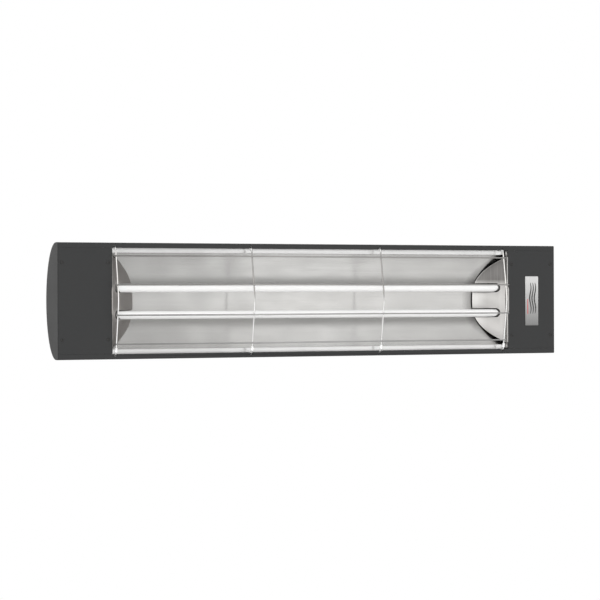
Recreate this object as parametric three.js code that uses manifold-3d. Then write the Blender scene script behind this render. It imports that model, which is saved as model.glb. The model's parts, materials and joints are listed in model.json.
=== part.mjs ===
// Dual-element infrared strip heater on two tilting wall brackets, as an assembly of separate pieces.
// Millimetres, +Z up. X runs along the heater, the opening faces -Y, and the wall is at the +Y side.
// Pieces are modelled from the middle of the housing's front plane: X along, Y into the housing, Z up.
// The finished assembly is then moved so that the middle of its overall box is the origin.
import * as THREE from 'three';
import { mergeVertices } from 'three/addons/utils/BufferGeometryUtils.js';
import Module from 'manifold-3d';

const wasm = await Module();
wasm.setup();

// ---------------------------------------------------------------- driving dimensions

const gap = 0.3; // clearance between neighbouring pieces
const over = 1; // how far a cutting tool runs past the surface it cuts
const bite = 0.5; // how far two shapes that are joined run into each other

const housing = {
  length: 990.6,
  height: 203.2,
  side: 8, // straight depth of the sides before the back starts to curve
  bulge: 53, // depth of the curved back, half an ellipse
  wall: 1.6,
  lip: 9.3, // width of the front lips along the top and bottom edges
  corner: 2,
  capSheet: 1.5,
};
const opening = { halfLength: 395.2 };
const cover = {
  sheet: 1.2,
  screwHeight: 67,
  innerScrew: 7.3, // from the cover's inner edge
  outerScrew: 8.1, // from the end of the housing
  screwHole: 2.1,
};
const flange = { halfHeight: 84, sheet: 1.2, rim: 12, capDepth: 14, bulkheadDepth: 13 };

const reflector = {
  sheet: 0.8,
  floor: 46.4, // depth of the trough at its middle
  focus: 60.6, // focal length of its parabola
  edge: 84, // half height of the parabola
  ledge: 12, // depth of the flat ledges above and below it
  ledgeEnd: 98,
};
const reflectorEnd = {
  halfHeight: 80,
  rim: 8.2, // depth of the square rim before the plate leans in
  reach: 53, // how far the leaning plate runs towards the middle
  lean: 1.46, // run towards the middle per unit of depth
  power: 2.8, // how square the plate's deep edge is
  tabHalfHeight: 28,
  tabReach: 2,
};
const element = {
  pitch: 47,
  sag: 1.5, // the tubes rest this far below the middle
  depth: 23,
  radius: 7,
  wall: 1.2,
  halfLength: 405.5,
  coilRadius: 3.4,
  coilHalfLength: 398,
};
const slot = { halfHeight: 8.5, endX: 386, endRun: 7, lift: 0.5, from: 10 };
const bulkhead = { x: 410, sheet: 1.2, clearance: 1, wireHole: 4, earthHole: 2.3 };
const ceramic = {
  start: 396,
  collarStart: 411.5,
  collarEnd: 415,
  end: 422,
  radius: 10,
  collar: 12.5,
  tail: 4,
};
const stud = { radius: 2, start: 407, nutStart: 424.8, nutEnd: 428, end: 434, nutRadius: 3.9 };
const nameplate = { x: 446, width: 28, bottom: -49, top: 44, sheet: 0.8, corner: 1.5 };

const guard = {
  wire: 1.3,
  centre: 1.5, // the guard rides this far above the middle
  aside: -3.6, // and this far along from it
  rise: 17, // height of the ribs' crowns in front of the housing
  crownRound: 6.8,
  footRise: 2.6,
  footBend: 3, // the guard swings about the middle of this bend at its upper feet
  footDepth: 6,
  hookBend: 2,
  hookRise: 4.5,
  ribPitch: 257.5,
  ribCount: 4,
  innerRail: 26.4,
  outerRail: 76.9,
  innerRailHalfLength: 391,
  outerRailHalfLength: 389,
};
const notch = { height: 93.5, halfWidth: 2.3, depth: 3.9 };
const clip = { inner: 1.65, outer: 2.5, from: 82, to: 89.2 };

const pivotDepth = 95;
const wallDepth = 155;
const bracket = {
  x: 304.8, // the brackets stand 24 inches apart
  halfWidth: 30,
  sheet: 2.5,
  plateHalfHeight: 52,
  earBaseHalfHeight: 34,
  earRadius: 15,
  boltHoleRadius: 4.4,
  wallHoleHeight: 42,
  wallHoleRadius: 3.5,
};
const pivot = { radius: 4, tail: 11, washer: 8.5, washerSheet: 1.6, hex: 7.5, headEnd: 6.8, nutEnd: 8.2 };
const hanger = {
  halfWidth: 27,
  sheet: 2.5,
  saddleHalfHeight: 42,
  earBaseHalfHeight: 26,
  earRadius: 14,
  screwHeight: 34,
  screwHoleRadius: 3.4,
};
const hangScrew = { radius: 3, length: 7, washer: 6.5, washerSheet: 1.2, hex: 5.8, headHeight: 5 };
const gland = {
  x: 455,
  bore: 4.6,
  thread: 8,
  hexRadius: 12.7,
  hexHeight: 5,
  neck: 10.6, // radius between the hexagons
  base: 61.3,
  inside: 52,
  nutStart: 6, // these heights are above the base
  nutEnd: 13,
  domeEnd: 19,
  tip: 22,
};
const locknut = { radius: 11.6, start: 55, end: 58.5 };
const cable = { radius: 4.1, start: 44, turn: 92, hang: 112, drop: 72 };
const block = {
  x: 462,
  depth: 42,
  height: 44,
  halfSize: new THREE.Vector3(18, 8, 10),
  wirePitch: 12,
  wireHole: 2.2,
  wireHoleTop: 4,
  screwWell: 3,
  wellHeight: 2,
  grooveHalf: 1,
  grooveDepth: 5,
};
const lead = { radius: 1.6, eyelet: 4.7, eyeletHole: 2.4, eyeletSheet: 0.8, start: 4.4, aside: 1.2 };
const behindTrough = 53.3; // depth at which the return lead passes behind the reflector
const earthPoint = new THREE.Vector3(bulkhead.x + bulkhead.sheet + gap, 38, -60);

const frontOfAll = guard.rise + guard.wire;
const middleDepth = (wallDepth - frontOfAll) / 2;
const sides = { left: -1, right: 1 };
const elementHeights = {
  upper: element.pitch / 2 - element.sag,
  lower: -element.pitch / 2 - element.sag,
};

// ---------------------------------------------------------------- finishes

const finishes = {
  blackCoat: { color: 0x3f3f41, roughness: 0.62, metalness: 0.15 },
  blackScrew: { color: 0x2c2b2d, roughness: 0.45, metalness: 0.5 },
  polishedAluminium: { color: 0xd2d0cc, roughness: 0.28, metalness: 1 },
  brushedAluminium: { color: 0xc4c4c2, roughness: 0.35, metalness: 1 },
  brightWire: { color: 0xd8d6d0, roughness: 0.22, metalness: 1 },
  zincSteel: { color: 0xb4b6b4, roughness: 0.38, metalness: 1 },
  milkyQuartz: { color: 0xf4f4f2, roughness: 0.3, metalness: 0 },
  resistanceWire: { color: 0x8a8178, roughness: 0.5, metalness: 0.8 },
  ceramic: { color: 0xece6d8, roughness: 0.7, metalness: 0 },
  leadSleeve: { color: 0xd9d2c0, roughness: 0.85, metalness: 0 },
  earthSleeve: { color: 0x5a8a3c, roughness: 0.8, metalness: 0 },
  blackPlastic: { color: 0x242426, roughness: 0.55, metalness: 0 },
  blackRubber: { color: 0x1e1e20, roughness: 0.75, metalness: 0 },
};

// ---------------------------------------------------------------- shape helpers

const at = (x, y, z) => new THREE.Vector3(x, y, z);

// Points round an ellipse from one angle to another, both ends included.
function arc(centreX, centreY, radiusX, radiusY, from, to, steps) {
  return Array.from({ length: steps + 1 }, (_, i) => {
    const angle = from + ((to - from) * i) / steps;
    return new THREE.Vector2(centreX + radiusX * Math.cos(angle), centreY + radiusY * Math.sin(angle));
  });
}

// A flat outline pushed straight up its own normal.
function thick(outline, depth) {
  return new THREE.ExtrudeGeometry(new THREE.Shape(outline), { depth, bevelEnabled: false });
}

// A flat outline pushed along X. The outline's own x is depth (Y) and its own y is height (Z).
function alongX(outline, from, to) {
  const axes = new THREE.Matrix4().makeBasis(at(0, 1, 0), at(0, 0, 1), at(1, 0, 0));
  return thick(outline, to - from).applyMatrix4(axes).translate(from, 0, 0);
}

// A flat outline pushed along Y. The outline's own x is X and its own y is Z.
function alongY(outline, from, to) {
  const axes = new THREE.Matrix4().makeBasis(at(1, 0, 0), at(0, 0, 1), at(0, -1, 0));
  return thick(outline, to - from).applyMatrix4(axes).translate(0, to, 0);
}

// A flat outline pushed along Z. The outline's own x is X and its own y is Y.
function alongZ(outline, from, to) {
  return thick(outline, to - from).translate(0, 0, from);
}

// A bent sheet seen on its edge: a line, and the same line moved sideways by the sheet's thickness.
function sheetOutline(line, thickness) {
  const directions = line.slice(1).map((point, i) => point.clone().sub(line[i]).normalize());
  const moved = line.map((point, i) => {
    const before = directions[Math.max(i - 1, 0)];
    const after = directions[Math.min(i, directions.length - 1)];
    const mitre = new THREE.Vector2(-before.y - after.y, before.x + after.x).normalize();
    const stretch = thickness / (mitre.y * after.x - mitre.x * after.y);
    return point.clone().addScaledVector(mitre, stretch);
  });
  return [...line, ...moved.reverse()];
}

function box(low, high) {
  const size = high.clone().sub(low);
  const middle = low.clone().add(high).multiplyScalar(0.5);
  return new THREE.BoxGeometry(size.x, size.y, size.z).translate(middle.x, middle.y, middle.z);
}

// A round or many-sided bar between two points.
function bar(radius, from, to, facets = 12) {
  const span = to.clone().sub(from);
  const middle = from.clone().add(to).multiplyScalar(0.5);
  const turn = new THREE.Quaternion().setFromUnitVectors(at(0, 1, 0), span.clone().normalize());
  const geometry = new THREE.CylinderGeometry(radius, radius, span.length(), facets);
  return geometry.applyQuaternion(turn).translate(middle.x, middle.y, middle.z);
}

// A turned piece whose axis is X: each profile point is [distance along X, radius].
function turnedAlongX(profile, facets = 16) {
  const points = profile.map(([along, radius]) => new THREE.Vector2(radius, along));
  return new THREE.LatheGeometry(points, facets).rotateZ(-Math.PI / 2);
}

// A turned piece whose axis is Y: each profile point is [distance along Y, radius].
function turnedAlongY(profile, facets = 16) {
  const points = profile.map(([along, radius]) => new THREE.Vector2(radius, along));
  return new THREE.LatheGeometry(points, facets);
}

// A path through listed points that keeps exactly those points when a shape is pushed along it.
class PointPath extends THREE.Curve {
  constructor(points) {
    super();
    this.points = points;
  }

  getPoint(t) {
    const place = t * (this.points.length - 1);
    const start = Math.min(Math.floor(place), this.points.length - 2);
    return this.points[start].clone().lerp(this.points[start + 1], place - start);
  }

  getPointAt(u) {
    return this.getPoint(u);
  }

  getTangentAt(u) {
    return this.getTangent(u);
  }
}

// Round wire or cable along listed points.
function wire(radius, points, facets = 6) {
  const section = new THREE.Shape(arc(0, 0, radius, radius, 0, 2 * Math.PI, facets).slice(0, facets));
  const extrudePath = new PointPath(points);
  return new THREE.ExtrudeGeometry(section, { steps: points.length - 1, extrudePath, bevelEnabled: false });
}

// A smooth curve through the listed points, with the same number of steps between each two.
function smoothPath(points, stepsEach) {
  return new THREE.CatmullRomCurve3(points).getPoints(stepsEach * (points.length - 1));
}

// ---------------------------------------------------------------- joining and cutting

function solidOf(geometry) {
  const bare = geometry.clone();
  bare.deleteAttribute('normal');
  bare.deleteAttribute('uv');
  const merged = mergeVertices(bare, 1e-4);
  const mesh = new wasm.Mesh({
    numProp: 3,
    vertProperties: merged.attributes.position.array,
    triVerts: merged.index.array,
  });
  return new wasm.Manifold(mesh);
}

function geometryOf(solid) {
  const mesh = solid.getMesh();
  const geometry = new THREE.BufferGeometry();
  geometry.setAttribute('position', new THREE.BufferAttribute(mesh.vertProperties, 3));
  geometry.setIndex(new THREE.BufferAttribute(mesh.triVerts, 1));
  geometry.computeVertexNormals();
  return geometry;
}

const asSolid = (piece) => (piece.isBufferGeometry ? solidOf(piece) : piece);

function join(first, ...others) {
  return others.reduce((whole, piece) => whole.add(asSolid(piece)), asSolid(first));
}

function cut(base, ...tools) {
  return tools.reduce((left, tool) => left.subtract(asSolid(tool)), asSolid(base));
}

function common(first, second) {
  return asSolid(first).intersect(asSolid(second));
}

function piece(name, shape, finish) {
  const geometry = shape.isBufferGeometry ? shape : geometryOf(shape);
  const mesh = new THREE.Mesh(geometry, new THREE.MeshStandardMaterial(finishes[finish]));
  mesh.name = name;
  return mesh;
}

// ---------------------------------------------------------------- housing

const backRadius = (inset) => housing.bulge - inset;
const halfHeight = (inset) => housing.height / 2 - inset;

// The D-shaped cross-section, drawn in by an inset: x is depth and y is height.
function housingOutline(inset, corner = housing.corner, steps = 36) {
  const height = halfHeight(inset);
  const cornerX = inset + corner;
  const cornerY = height - corner;
  return [
    ...arc(cornerX, -cornerY, corner, corner, Math.PI, 1.5 * Math.PI, 2),
    ...arc(housing.side, 0, backRadius(inset), height, -Math.PI / 2, Math.PI / 2, steps),
    ...arc(cornerX, cornerY, corner, corner, Math.PI / 2, Math.PI, 2),
  ];
}

// The same outline for pieces inside the shell, with tighter corners and fewer steps.
const innerOutline = (inset) => housingOutline(inset, 0.6, 20);

// Where a height meets the curved back, and which way the surface faces there.
function backPoint(height) {
  const slope = Math.asin(height / halfHeight(0));
  const depth = housing.side + backRadius(0) * Math.cos(slope);
  const outward = at(0, Math.cos(slope) / backRadius(0), Math.sin(slope) / halfHeight(0)).normalize();
  return { depth, outward };
}

// A bar through the curved back at right angles to its surface, reaching out and in by given lengths.
function barThroughBack(radius, x, height, outwards, inwards) {
  const { depth, outward } = backPoint(height);
  const surface = at(x, depth, height);
  const outer = surface.clone().addScaledVector(outward, outwards);
  const inner = surface.clone().addScaledVector(outward, -inwards);
  return bar(radius, inner, outer);
}

const shellEnd = housing.length / 2 - housing.capSheet - gap;
const lipEdge = halfHeight(0) - housing.lip;
const ribPlaces = Array.from(
  { length: guard.ribCount },
  (_, i) => guard.aside + (i - (guard.ribCount - 1) / 2) * guard.ribPitch,
);

// The pair of holes, one above and one below the middle, that cover screws at x pass through.
function coverScrewHoles(x) {
  const screwReach = 7;
  return [-cover.screwHeight, cover.screwHeight].map((z) =>
    bar(cover.screwHole, at(x, -over, z), at(x, screwReach, z)),
  );
}

function housingShell() {
  const inside = alongX(housingOutline(housing.wall, 0.6), -shellEnd - over, shellEnd + over);
  const front = box(at(-shellEnd - over, -over, -lipEdge), at(shellEnd + over, housing.wall + over, lipEdge));
  const notches = ribPlaces.flatMap((x) =>
    [-1, 1].map((end) => {
      const near = end * (lipEdge - over);
      const far = end * (lipEdge + notch.depth);
      const low = at(x - notch.halfWidth, -over, Math.min(near, far));
      const high = at(x + notch.halfWidth, housing.wall + over, Math.max(near, far));
      return box(low, high);
    }),
  );
  const screwHoles = Object.values(sides).flatMap((side) =>
    [-hanger.screwHeight, hanger.screwHeight].map((height) =>
      barThroughBack(hanger.screwHoleRadius, side * bracket.x, height, over, housing.wall + over),
    ),
  );
  const cableHole = barThroughBack(gland.thread + gap, gland.x, 0, over, housing.wall + over);
  const shell = alongX(housingOutline(0), -shellEnd, shellEnd);
  return cut(shell, inside, front, ...notches, ...screwHoles, cableHole);
}

// A flat end plate with a rim that slips inside the shell and a flange that carries the cover's screws.
function endCap(side) {
  const outerFace = (side * housing.length) / 2;
  const innerFace = outerFace - side * housing.capSheet;
  const rimEnd = innerFace - side * flange.rim;
  const shelfEnd = innerFace - side * flange.capDepth;
  const span = (a, b) => [Math.min(a, b), Math.max(a, b)];
  const behindShelf = cover.sheet + flange.sheet + 2 * gap;
  const plate = alongX(housingOutline(0), ...span(outerFace, innerFace));
  const rim = cut(
    alongX(innerOutline(housing.wall + gap), ...span(innerFace + side * bite, rimEnd)),
    alongX(innerOutline(housing.wall + gap + flange.sheet), ...span(outerFace, rimEnd - side)),
    box(at(-housing.length, -over, -lipEdge), at(housing.length, behindShelf, lipEdge)),
  );
  const [low, high] = span(innerFace + side * bite, shelfEnd);
  const front = cover.sheet + gap;
  const shelf = box(at(low, front, -flange.halfHeight), at(high, front + flange.sheet, flange.halfHeight));
  return cut(join(plate, rim, shelf), ...coverScrewHoles(side * screwColumns.outer));
}

// ---------------------------------------------------------------- end covers

const screwColumns = {
  inner: opening.halfLength + cover.innerScrew,
  outer: housing.length / 2 - cover.outerScrew,
};

function coverPlate(side) {
  const near = side * opening.halfLength;
  const far = side * shellEnd;
  const height = lipEdge - gap;
  const plate = box(at(Math.min(near, far), 0, -height), at(Math.max(near, far), cover.sheet, height));
  const holes = Object.values(screwColumns).flatMap((column) => coverScrewHoles(side * column));
  return cut(plate, ...holes);
}

// A small pan-head screw pointing along +Y, its head resting just in front of Y = 0.
function coverScrew() {
  const head = [[-1.5, 0], [-1.4, 1.9], [-0.8, 2.9], [-gap, 3], [-gap, 1.7]];
  const shank = [[7, 1.7], [7, 0]];
  return turnedAlongY([...head, ...shank], 10);
}

function nameplatePlate() {
  const left = nameplate.x - nameplate.width / 2;
  const right = nameplate.x + nameplate.width / 2;
  const round = nameplate.corner;
  const outline = [
    ...arc(right - round, nameplate.bottom + round, round, round, -Math.PI / 2, 0, 3),
    ...arc(right - round, nameplate.top - round, round, round, 0, Math.PI / 2, 3),
    ...arc(left + round, nameplate.top - round, round, round, Math.PI / 2, Math.PI, 3),
    ...arc(left + round, nameplate.bottom + round, round, round, Math.PI, 1.5 * Math.PI, 3),
  ];
  return alongY(outline, -gap - nameplate.sheet, -gap);
}

// ---------------------------------------------------------------- reflector

const troughDepth = (height) => reflector.floor - height ** 2 / (4 * reflector.focus);

function reflectorTrough() {
  const steps = 24;
  const curve = Array.from({ length: steps + 1 }, (_, i) => {
    const height = reflector.edge * (1 - (2 * i) / steps);
    return new THREE.Vector2(troughDepth(height), height);
  });
  const line = [
    new THREE.Vector2(reflector.ledge, reflector.ledgeEnd),
    new THREE.Vector2(reflector.ledge, reflector.edge),
    ...curve,
    new THREE.Vector2(reflector.ledge, -reflector.edge),
    new THREE.Vector2(reflector.ledge, -reflector.ledgeEnd),
  ];
  const end = opening.halfLength - 2 * gap - reflector.sheet - over;
  return alongX(sheetOutline(line, reflector.sheet), -end, end);
}

// How far towards the middle the leaning plate reaches at a height.
function plateReach(height) {
  return reflectorEnd.reach * (1 - (Math.abs(height) / reflectorEnd.halfHeight) ** reflectorEnd.power);
}

// The plate seen from the front, from its curved deep edge out to past its flange.
function reflectorEndMask(side) {
  const steps = 28;
  const deepEdge = Array.from({ length: steps + 1 }, (_, i) => {
    const height = reflectorEnd.halfHeight * ((2 * i) / steps - 1);
    return new THREE.Vector2(side * (opening.halfLength - plateReach(height)), height);
  });
  const outer = side * (bulkhead.x + 10);
  return [
    ...deepEdge,
    new THREE.Vector2(outer, reflectorEnd.halfHeight),
    new THREE.Vector2(outer, -reflectorEnd.halfHeight),
  ];
}

// A slot seen from the front, open towards the middle, with a round closed end.
function elementSlot(side, height) {
  const run = slot.endRun * side;
  const closedEnd = side * slot.endX - run;
  const round = arc(closedEnd, height, run, slot.halfHeight, -Math.PI / 2, Math.PI / 2, 8);
  const middle = side * (opening.halfLength - reflectorEnd.reach - 10);
  return [
    ...round,
    new THREE.Vector2(middle, height + slot.halfHeight),
    new THREE.Vector2(middle, height - slot.halfHeight),
  ];
}

// A folded plate: a flange behind the cover, a square rim, then a plate leaning in to the trough's floor.
function reflectorEndPlate(side) {
  const front = cover.sheet + gap;
  const rimX = opening.halfLength - gap - reflector.sheet;
  const deepX = opening.halfLength - reflectorEnd.reach - over;
  const line = [
    new THREE.Vector2(side * (bulkhead.x - 3), front),
    new THREE.Vector2(side * rimX, front),
    new THREE.Vector2(side * rimX, reflectorEnd.rim),
    new THREE.Vector2(side * deepX, reflectorEnd.rim + (rimX - deepX) / reflectorEnd.lean),
  ];
  const { halfHeight: top } = reflectorEnd;
  const sheet = alongZ(sheetOutline(line, -side * reflector.sheet), -top, top);
  const pastFloor = reflector.floor + 10;
  const slots = Object.values(elementHeights).map((height) =>
    alongY(elementSlot(side, height + slot.lift), slot.from, pastFloor),
  );
  const holes = coverScrewHoles(side * screwColumns.inner);
  const folded = common(sheet, alongY(reflectorEndMask(side), -over, pastFloor));
  return join(cut(folded, ...slots, ...holes), centreTab(side));
}

// A small tab at the middle of the rim that folds out over the cover's edge.
function centreTab(side) {
  const rimX = opening.halfLength - gap - reflector.sheet;
  const line = [
    new THREE.Vector2(side * rimX, reflectorEnd.rim - 2),
    new THREE.Vector2(side * rimX, -gap - reflector.sheet),
    new THREE.Vector2(side * (opening.halfLength + reflectorEnd.tabReach), -gap - reflector.sheet),
  ];
  const { tabHalfHeight: top } = reflectorEnd;
  return alongZ(sheetOutline(line, side * reflector.sheet), -top, top);
}

// ---------------------------------------------------------------- heating elements

function quartzTube(height) {
  const end = element.halfLength;
  const inner = element.radius - element.wall;
  const profile = [[-end, inner], [-end, element.radius], [end, element.radius], [end, inner], [-end, inner]];
  return turnedAlongX(profile).translate(0, element.depth, height);
}

// The coiled resistance wire, as the plain round space it fills inside the tube.
function heatingCoil(height) {
  const end = element.coilHalfLength;
  return bar(element.coilRadius, at(-end, element.depth, height), at(end, element.depth, height), 12);
}

function ceramicCap(side, height) {
  const bore = element.radius + gap;
  const boreEnd = element.halfLength + gap;
  const profile = [
    [ceramic.start, bore],
    [ceramic.start, ceramic.radius],
    [ceramic.collarStart, ceramic.radius],
    [ceramic.collarStart, ceramic.collar],
    [ceramic.collarEnd, ceramic.collar],
    [ceramic.collarEnd, ceramic.tail],
    [ceramic.end, ceramic.tail],
    [ceramic.end, stud.radius + gap],
    [boreEnd, stud.radius + gap],
    [boreEnd, bore],
    [ceramic.start, bore],
  ];
  return handed(turnedAlongX(profile, 12), side).translate(0, element.depth, height);
}

// Turns a piece made for the right end to face the left end when the side is left.
function handed(geometry, side) {
  return side > 0 ? geometry : geometry.rotateZ(Math.PI);
}

function terminalStud(side, height) {
  const shank = bar(stud.radius, at(stud.start, 0, 0), at(stud.end, 0, 0), 10);
  const nut = bar(stud.nutRadius, at(stud.nutStart, 0, 0), at(stud.nutEnd, 0, 0), 6);
  return handed(geometryOf(join(shank, nut)), side).translate(0, element.depth, height);
}

// A wall across the shell at each end of the reflector that carries the ceramic caps.
function bulkheadPlate(side) {
  const face = side * bulkhead.x;
  const far = face + side * bulkhead.sheet;
  const outline = innerOutline(housing.wall + bulkhead.clearance);
  const wall = alongX(outline, Math.min(face, far), Math.max(face, far));
  const front = cover.sheet + reflector.sheet + 2 * gap;
  const inner = face - side * flange.bulkheadDepth;
  const low = at(Math.min(inner, far), front, -flange.halfHeight);
  const high = at(Math.max(inner, far), front + flange.sheet, flange.halfHeight);
  const across = (radius, y, z) => bar(radius, at(face - side * over, y, z), at(far + side * over, y, z), 16);
  const capHoles = Object.values(elementHeights).map((height) =>
    across(ceramic.radius + gap, element.depth, height),
  );
  const wireHole = across(bulkhead.wireHole, behindTrough, 0);
  const earthHole = across(bulkhead.earthHole, earthPoint.y, earthPoint.z);
  const screwHoles = coverScrewHoles(side * screwColumns.inner);
  const tall = halfHeight(0);
  const cleared = cut(wall, box(at(-housing.length, -over, -tall), at(housing.length, front, tall)));
  return cut(join(cleared, box(low, high)), ...capHoles, wireHole, earthHole, ...screwHoles);
}

// ---------------------------------------------------------------- wiring

function terminalBlock() {
  const middle = at(block.x, block.depth, block.height);
  const low = middle.clone().sub(block.halfSize);
  const high = middle.clone().add(block.halfSize);
  const wellHeight = middle.z + block.wellHeight;
  const poles = [-1, 0, 1].map((i) => block.x + i * block.wirePitch);
  const wireHoles = poles.map((x) =>
    bar(block.wireHole, at(x, block.depth, low.z - over), at(x, block.depth, middle.z + block.wireHoleTop)),
  );
  const screwWells = poles.map((x) =>
    bar(block.screwWell, at(x, low.y - over, wellHeight), at(x, middle.y - block.screwWell, wellHeight)),
  );
  const grooves = [-0.5, 0.5].map((i) => {
    const x = block.x + i * block.wirePitch;
    const grooveLow = at(x - block.grooveHalf, low.y - over, low.z - over);
    const grooveHigh = at(x + block.grooveHalf, low.y + block.grooveDepth, high.z + over);
    return box(grooveLow, grooveHigh);
  });
  return cut(box(low, high), ...wireHoles, ...screwWells, ...grooves);
}

// Two eyelets fit on a stud, one against the cap and one against the nut.
const eyeletX = (side, layer) => side * (ceramic.end + gap + layer * (lead.eyeletSheet + gap));

// The lead leaves the first eyelet on the cap's side, and the second eyelet on the nut's side.
function leadX(side, layer) {
  const middle = eyeletX(side, layer) + (side * lead.eyeletSheet) / 2;
  return middle + side * (layer === 0 ? -lead.aside : lead.aside);
}

// The disc of an eyelet round a stud that lies along X, and the hole through it.
function eyelet(place) {
  const thickness = at(Math.sign(place.x) * lead.eyeletSheet, 0, 0);
  const disc = bar(lead.eyelet, place, place.clone().add(thickness), 12);
  const holeEnd = place.clone().addScaledVector(thickness, 2);
  const hole = bar(lead.eyeletHole, place.clone().sub(thickness), holeEnd, 10);
  return { disc, hole };
}

function leadRun(points) {
  return wire(lead.radius, smoothPath(points, 3));
}

// The last stretch of a lead, up into one of the terminal block's poles.
const poleEnd = (pole) => {
  const x = block.x + pole * block.wirePitch;
  return [24, 30, 37].map((height) => at(x, block.depth, height));
};

function liveLead() {
  const stack = eyelet(at(eyeletX(1, 0), element.depth, elementHeights.upper));
  const x = leadX(1, 0);
  const y = element.depth;
  const z = elementHeights.upper;
  const path = [at(x, y + lead.start, z), at(x + 0.5, y + 9, z), at(x + 14, y + 18, z), ...poleEnd(-1)];
  return cut(join(stack.disc, leadRun(path)), stack.hole);
}

function linkLead(side) {
  const x = leadX(side, 1);
  const y = element.depth;
  const { upper, lower } = elementHeights;
  const path = [
    at(x, y, upper - lead.start),
    at(x, y, upper - 9),
    at(x + side * 5, y, (upper + lower) / 2),
    at(x, y, lower + 9),
    at(x, y, lower + lead.start),
  ];
  const first = eyelet(at(eyeletX(side, 1), y, upper));
  const second = eyelet(at(eyeletX(side, 1), y, lower));
  return cut(join(first.disc, leadRun(path), second.disc), first.hole, second.hole);
}

// Runs from the left end behind the reflector to the terminal block in the right end.
function returnLead() {
  const x = leadX(-1, 0);
  const y = element.depth;
  const z = elementHeights.lower;
  const stack = eyelet(at(eyeletX(-1, 0), y, z));
  const path = [
    at(x, y + lead.start, z),
    at(x, y + 10, z),
    at(x, 44, -16),
    at(-bulkhead.x - 6, 51.5, -2),
    at(-bulkhead.x + 20, behindTrough, 0),
    at(0, behindTrough, 0),
    at(bulkhead.x - 20, behindTrough, 0),
    at(bulkhead.x + 6, 51.5, 2),
    at(bulkhead.x + 20, 48, 14),
    at(bulkhead.x + 36, 44, 19),
    ...poleEnd(0),
  ];
  return cut(join(stack.disc, leadRun(path)), stack.hole);
}

function earthLead() {
  const { x, y, z } = earthPoint;
  const start = x + lead.eyeletSheet / 2 + lead.aside;
  const stack = eyelet(earthPoint);
  const path = [
    at(start, y, z + lead.start),
    at(start + 1, y, z + 12),
    at(start + 36, y - 2, z + 26),
    at(start + 66, y, z + 60),
    ...poleEnd(1),
  ];
  return cut(join(stack.disc, leadRun(path)), stack.hole);
}

function earthScrew() {
  const { x, y, z } = earthPoint;
  const headFace = x + lead.eyeletSheet + gap;
  const shank = bar(stud.radius, at(x - 7, y, z), at(headFace + over, y, z), 10);
  const head = bar(stud.nutRadius, at(headFace, y, z), at(headFace + 2.8, y, z), 6);
  return join(shank, head);
}

function cableGland() {
  const { base } = gland;
  const hex = bar(gland.hexRadius, at(0, base, 0), at(0, base + gland.hexHeight, 0), 6);
  const nut = bar(gland.hexRadius, at(0, base + gland.nutStart, 0), at(0, base + gland.nutEnd, 0), 6);
  const profile = [
    [gland.inside, 0],
    [gland.inside, gland.thread],
    [base + bite, gland.thread],
    [base + bite, gland.neck],
    [base + gland.nutEnd, gland.neck],
    [base + gland.domeEnd, gland.neck - 1.2],
    [base + gland.tip, gland.bore + 1.8],
    [base + gland.tip, 0],
  ];
  const body = join(turnedAlongY(profile, 18), hex, nut);
  const bore = bar(gland.bore, at(0, gland.inside - over, 0), at(0, base + gland.tip + over, 0));
  return geometryOf(cut(body, bore)).translate(gland.x, 0, 0);
}

function glandLocknut() {
  const along = (y) => at(gland.x, y, 0);
  const nut = bar(locknut.radius, along(locknut.start), along(locknut.end), 6);
  const bore = bar(gland.thread + gap, along(locknut.start - over), along(locknut.end + over));
  return cut(nut, bore);
}

// The cable leaves the gland straight back, then turns down in front of the wall.
function supplyCable() {
  const { start, turn, hang, drop } = cable;
  const straight = [0, 1, 2, 3].map((i) => at(0, start + ((turn - start) * i) / 3, 0));
  const bend = [at(0, hang - 9, -6), at(0, hang - 2, -18), at(0, hang, -36)];
  const path = smoothPath([...straight, ...bend, at(0, hang, -drop)], 3);
  return wire(cable.radius, path, 10).translate(gland.x, 0, 0);
}

// ---------------------------------------------------------------- wire guard

// How far a rib stands in front of the housing at a height: a shallow V with a rounded crown.
function ribRise(height) {
  const fromCentre = height - guard.centre;
  const footDistance = notch.height - Math.sign(fromCentre) * guard.centre;
  const drop = (distance) => Math.hypot(distance, guard.crownRound) - guard.crownRound;
  return guard.rise - (guard.rise - guard.footRise) * (drop(fromCentre) / drop(footDistance));
}

function ribPoints(x) {
  const { footBend: bend, footDepth, hookBend: hook } = guard;
  const toSide = ({ x: depth, y: height }) => at(x, depth, height);
  const bowSteps = 12;
  const bow = Array.from({ length: bowSteps + 1 }, (_, i) => {
    const height = (notch.height - bend - 1) * (1 - (2 * i) / bowSteps);
    return at(x, -ribRise(height), height);
  });
  const bendY = bend - guard.footRise;
  const topTurn = arc(bendY, notch.height - bend, bend, bend, Math.PI, Math.PI / 2, 3).map(toSide);
  const hookTurn = arc(footDepth - hook, notch.height + hook, hook, hook, -Math.PI / 2, 0, 2).map(toSide);
  const bottomTurn = arc(bendY, bend - notch.height, bend, bend, Math.PI, 1.5 * Math.PI, 3).map(toSide);
  return [
    at(x, footDepth, notch.height + guard.hookRise),
    ...hookTurn.reverse(),
    ...topTurn.reverse(),
    ...bow,
    ...bottomTurn,
    at(x, footDepth, -notch.height),
  ];
}

// A rail lies across the fronts of the ribs and bites a little way into them, as a spot weld does.
function rail(fromCentre, halfLength) {
  const height = guard.centre + fromCentre;
  const depth = -ribRise(height) - 1.8 * guard.wire;
  const from = at(guard.aside - halfLength, depth, height);
  const to = at(guard.aside + halfLength, depth, height);
  return bar(guard.wire, from, to, 6);
}

function wireGuard() {
  const ribs = ribPlaces.map((x) => wire(guard.wire, ribPoints(x)));
  const rails = [-1, 1].flatMap((end) => [
    rail(end * guard.innerRail, guard.innerRailHalfLength),
    rail(end * guard.outerRail, guard.outerRailHalfLength),
  ]);
  return join(...ribs, ...rails);
}

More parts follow.
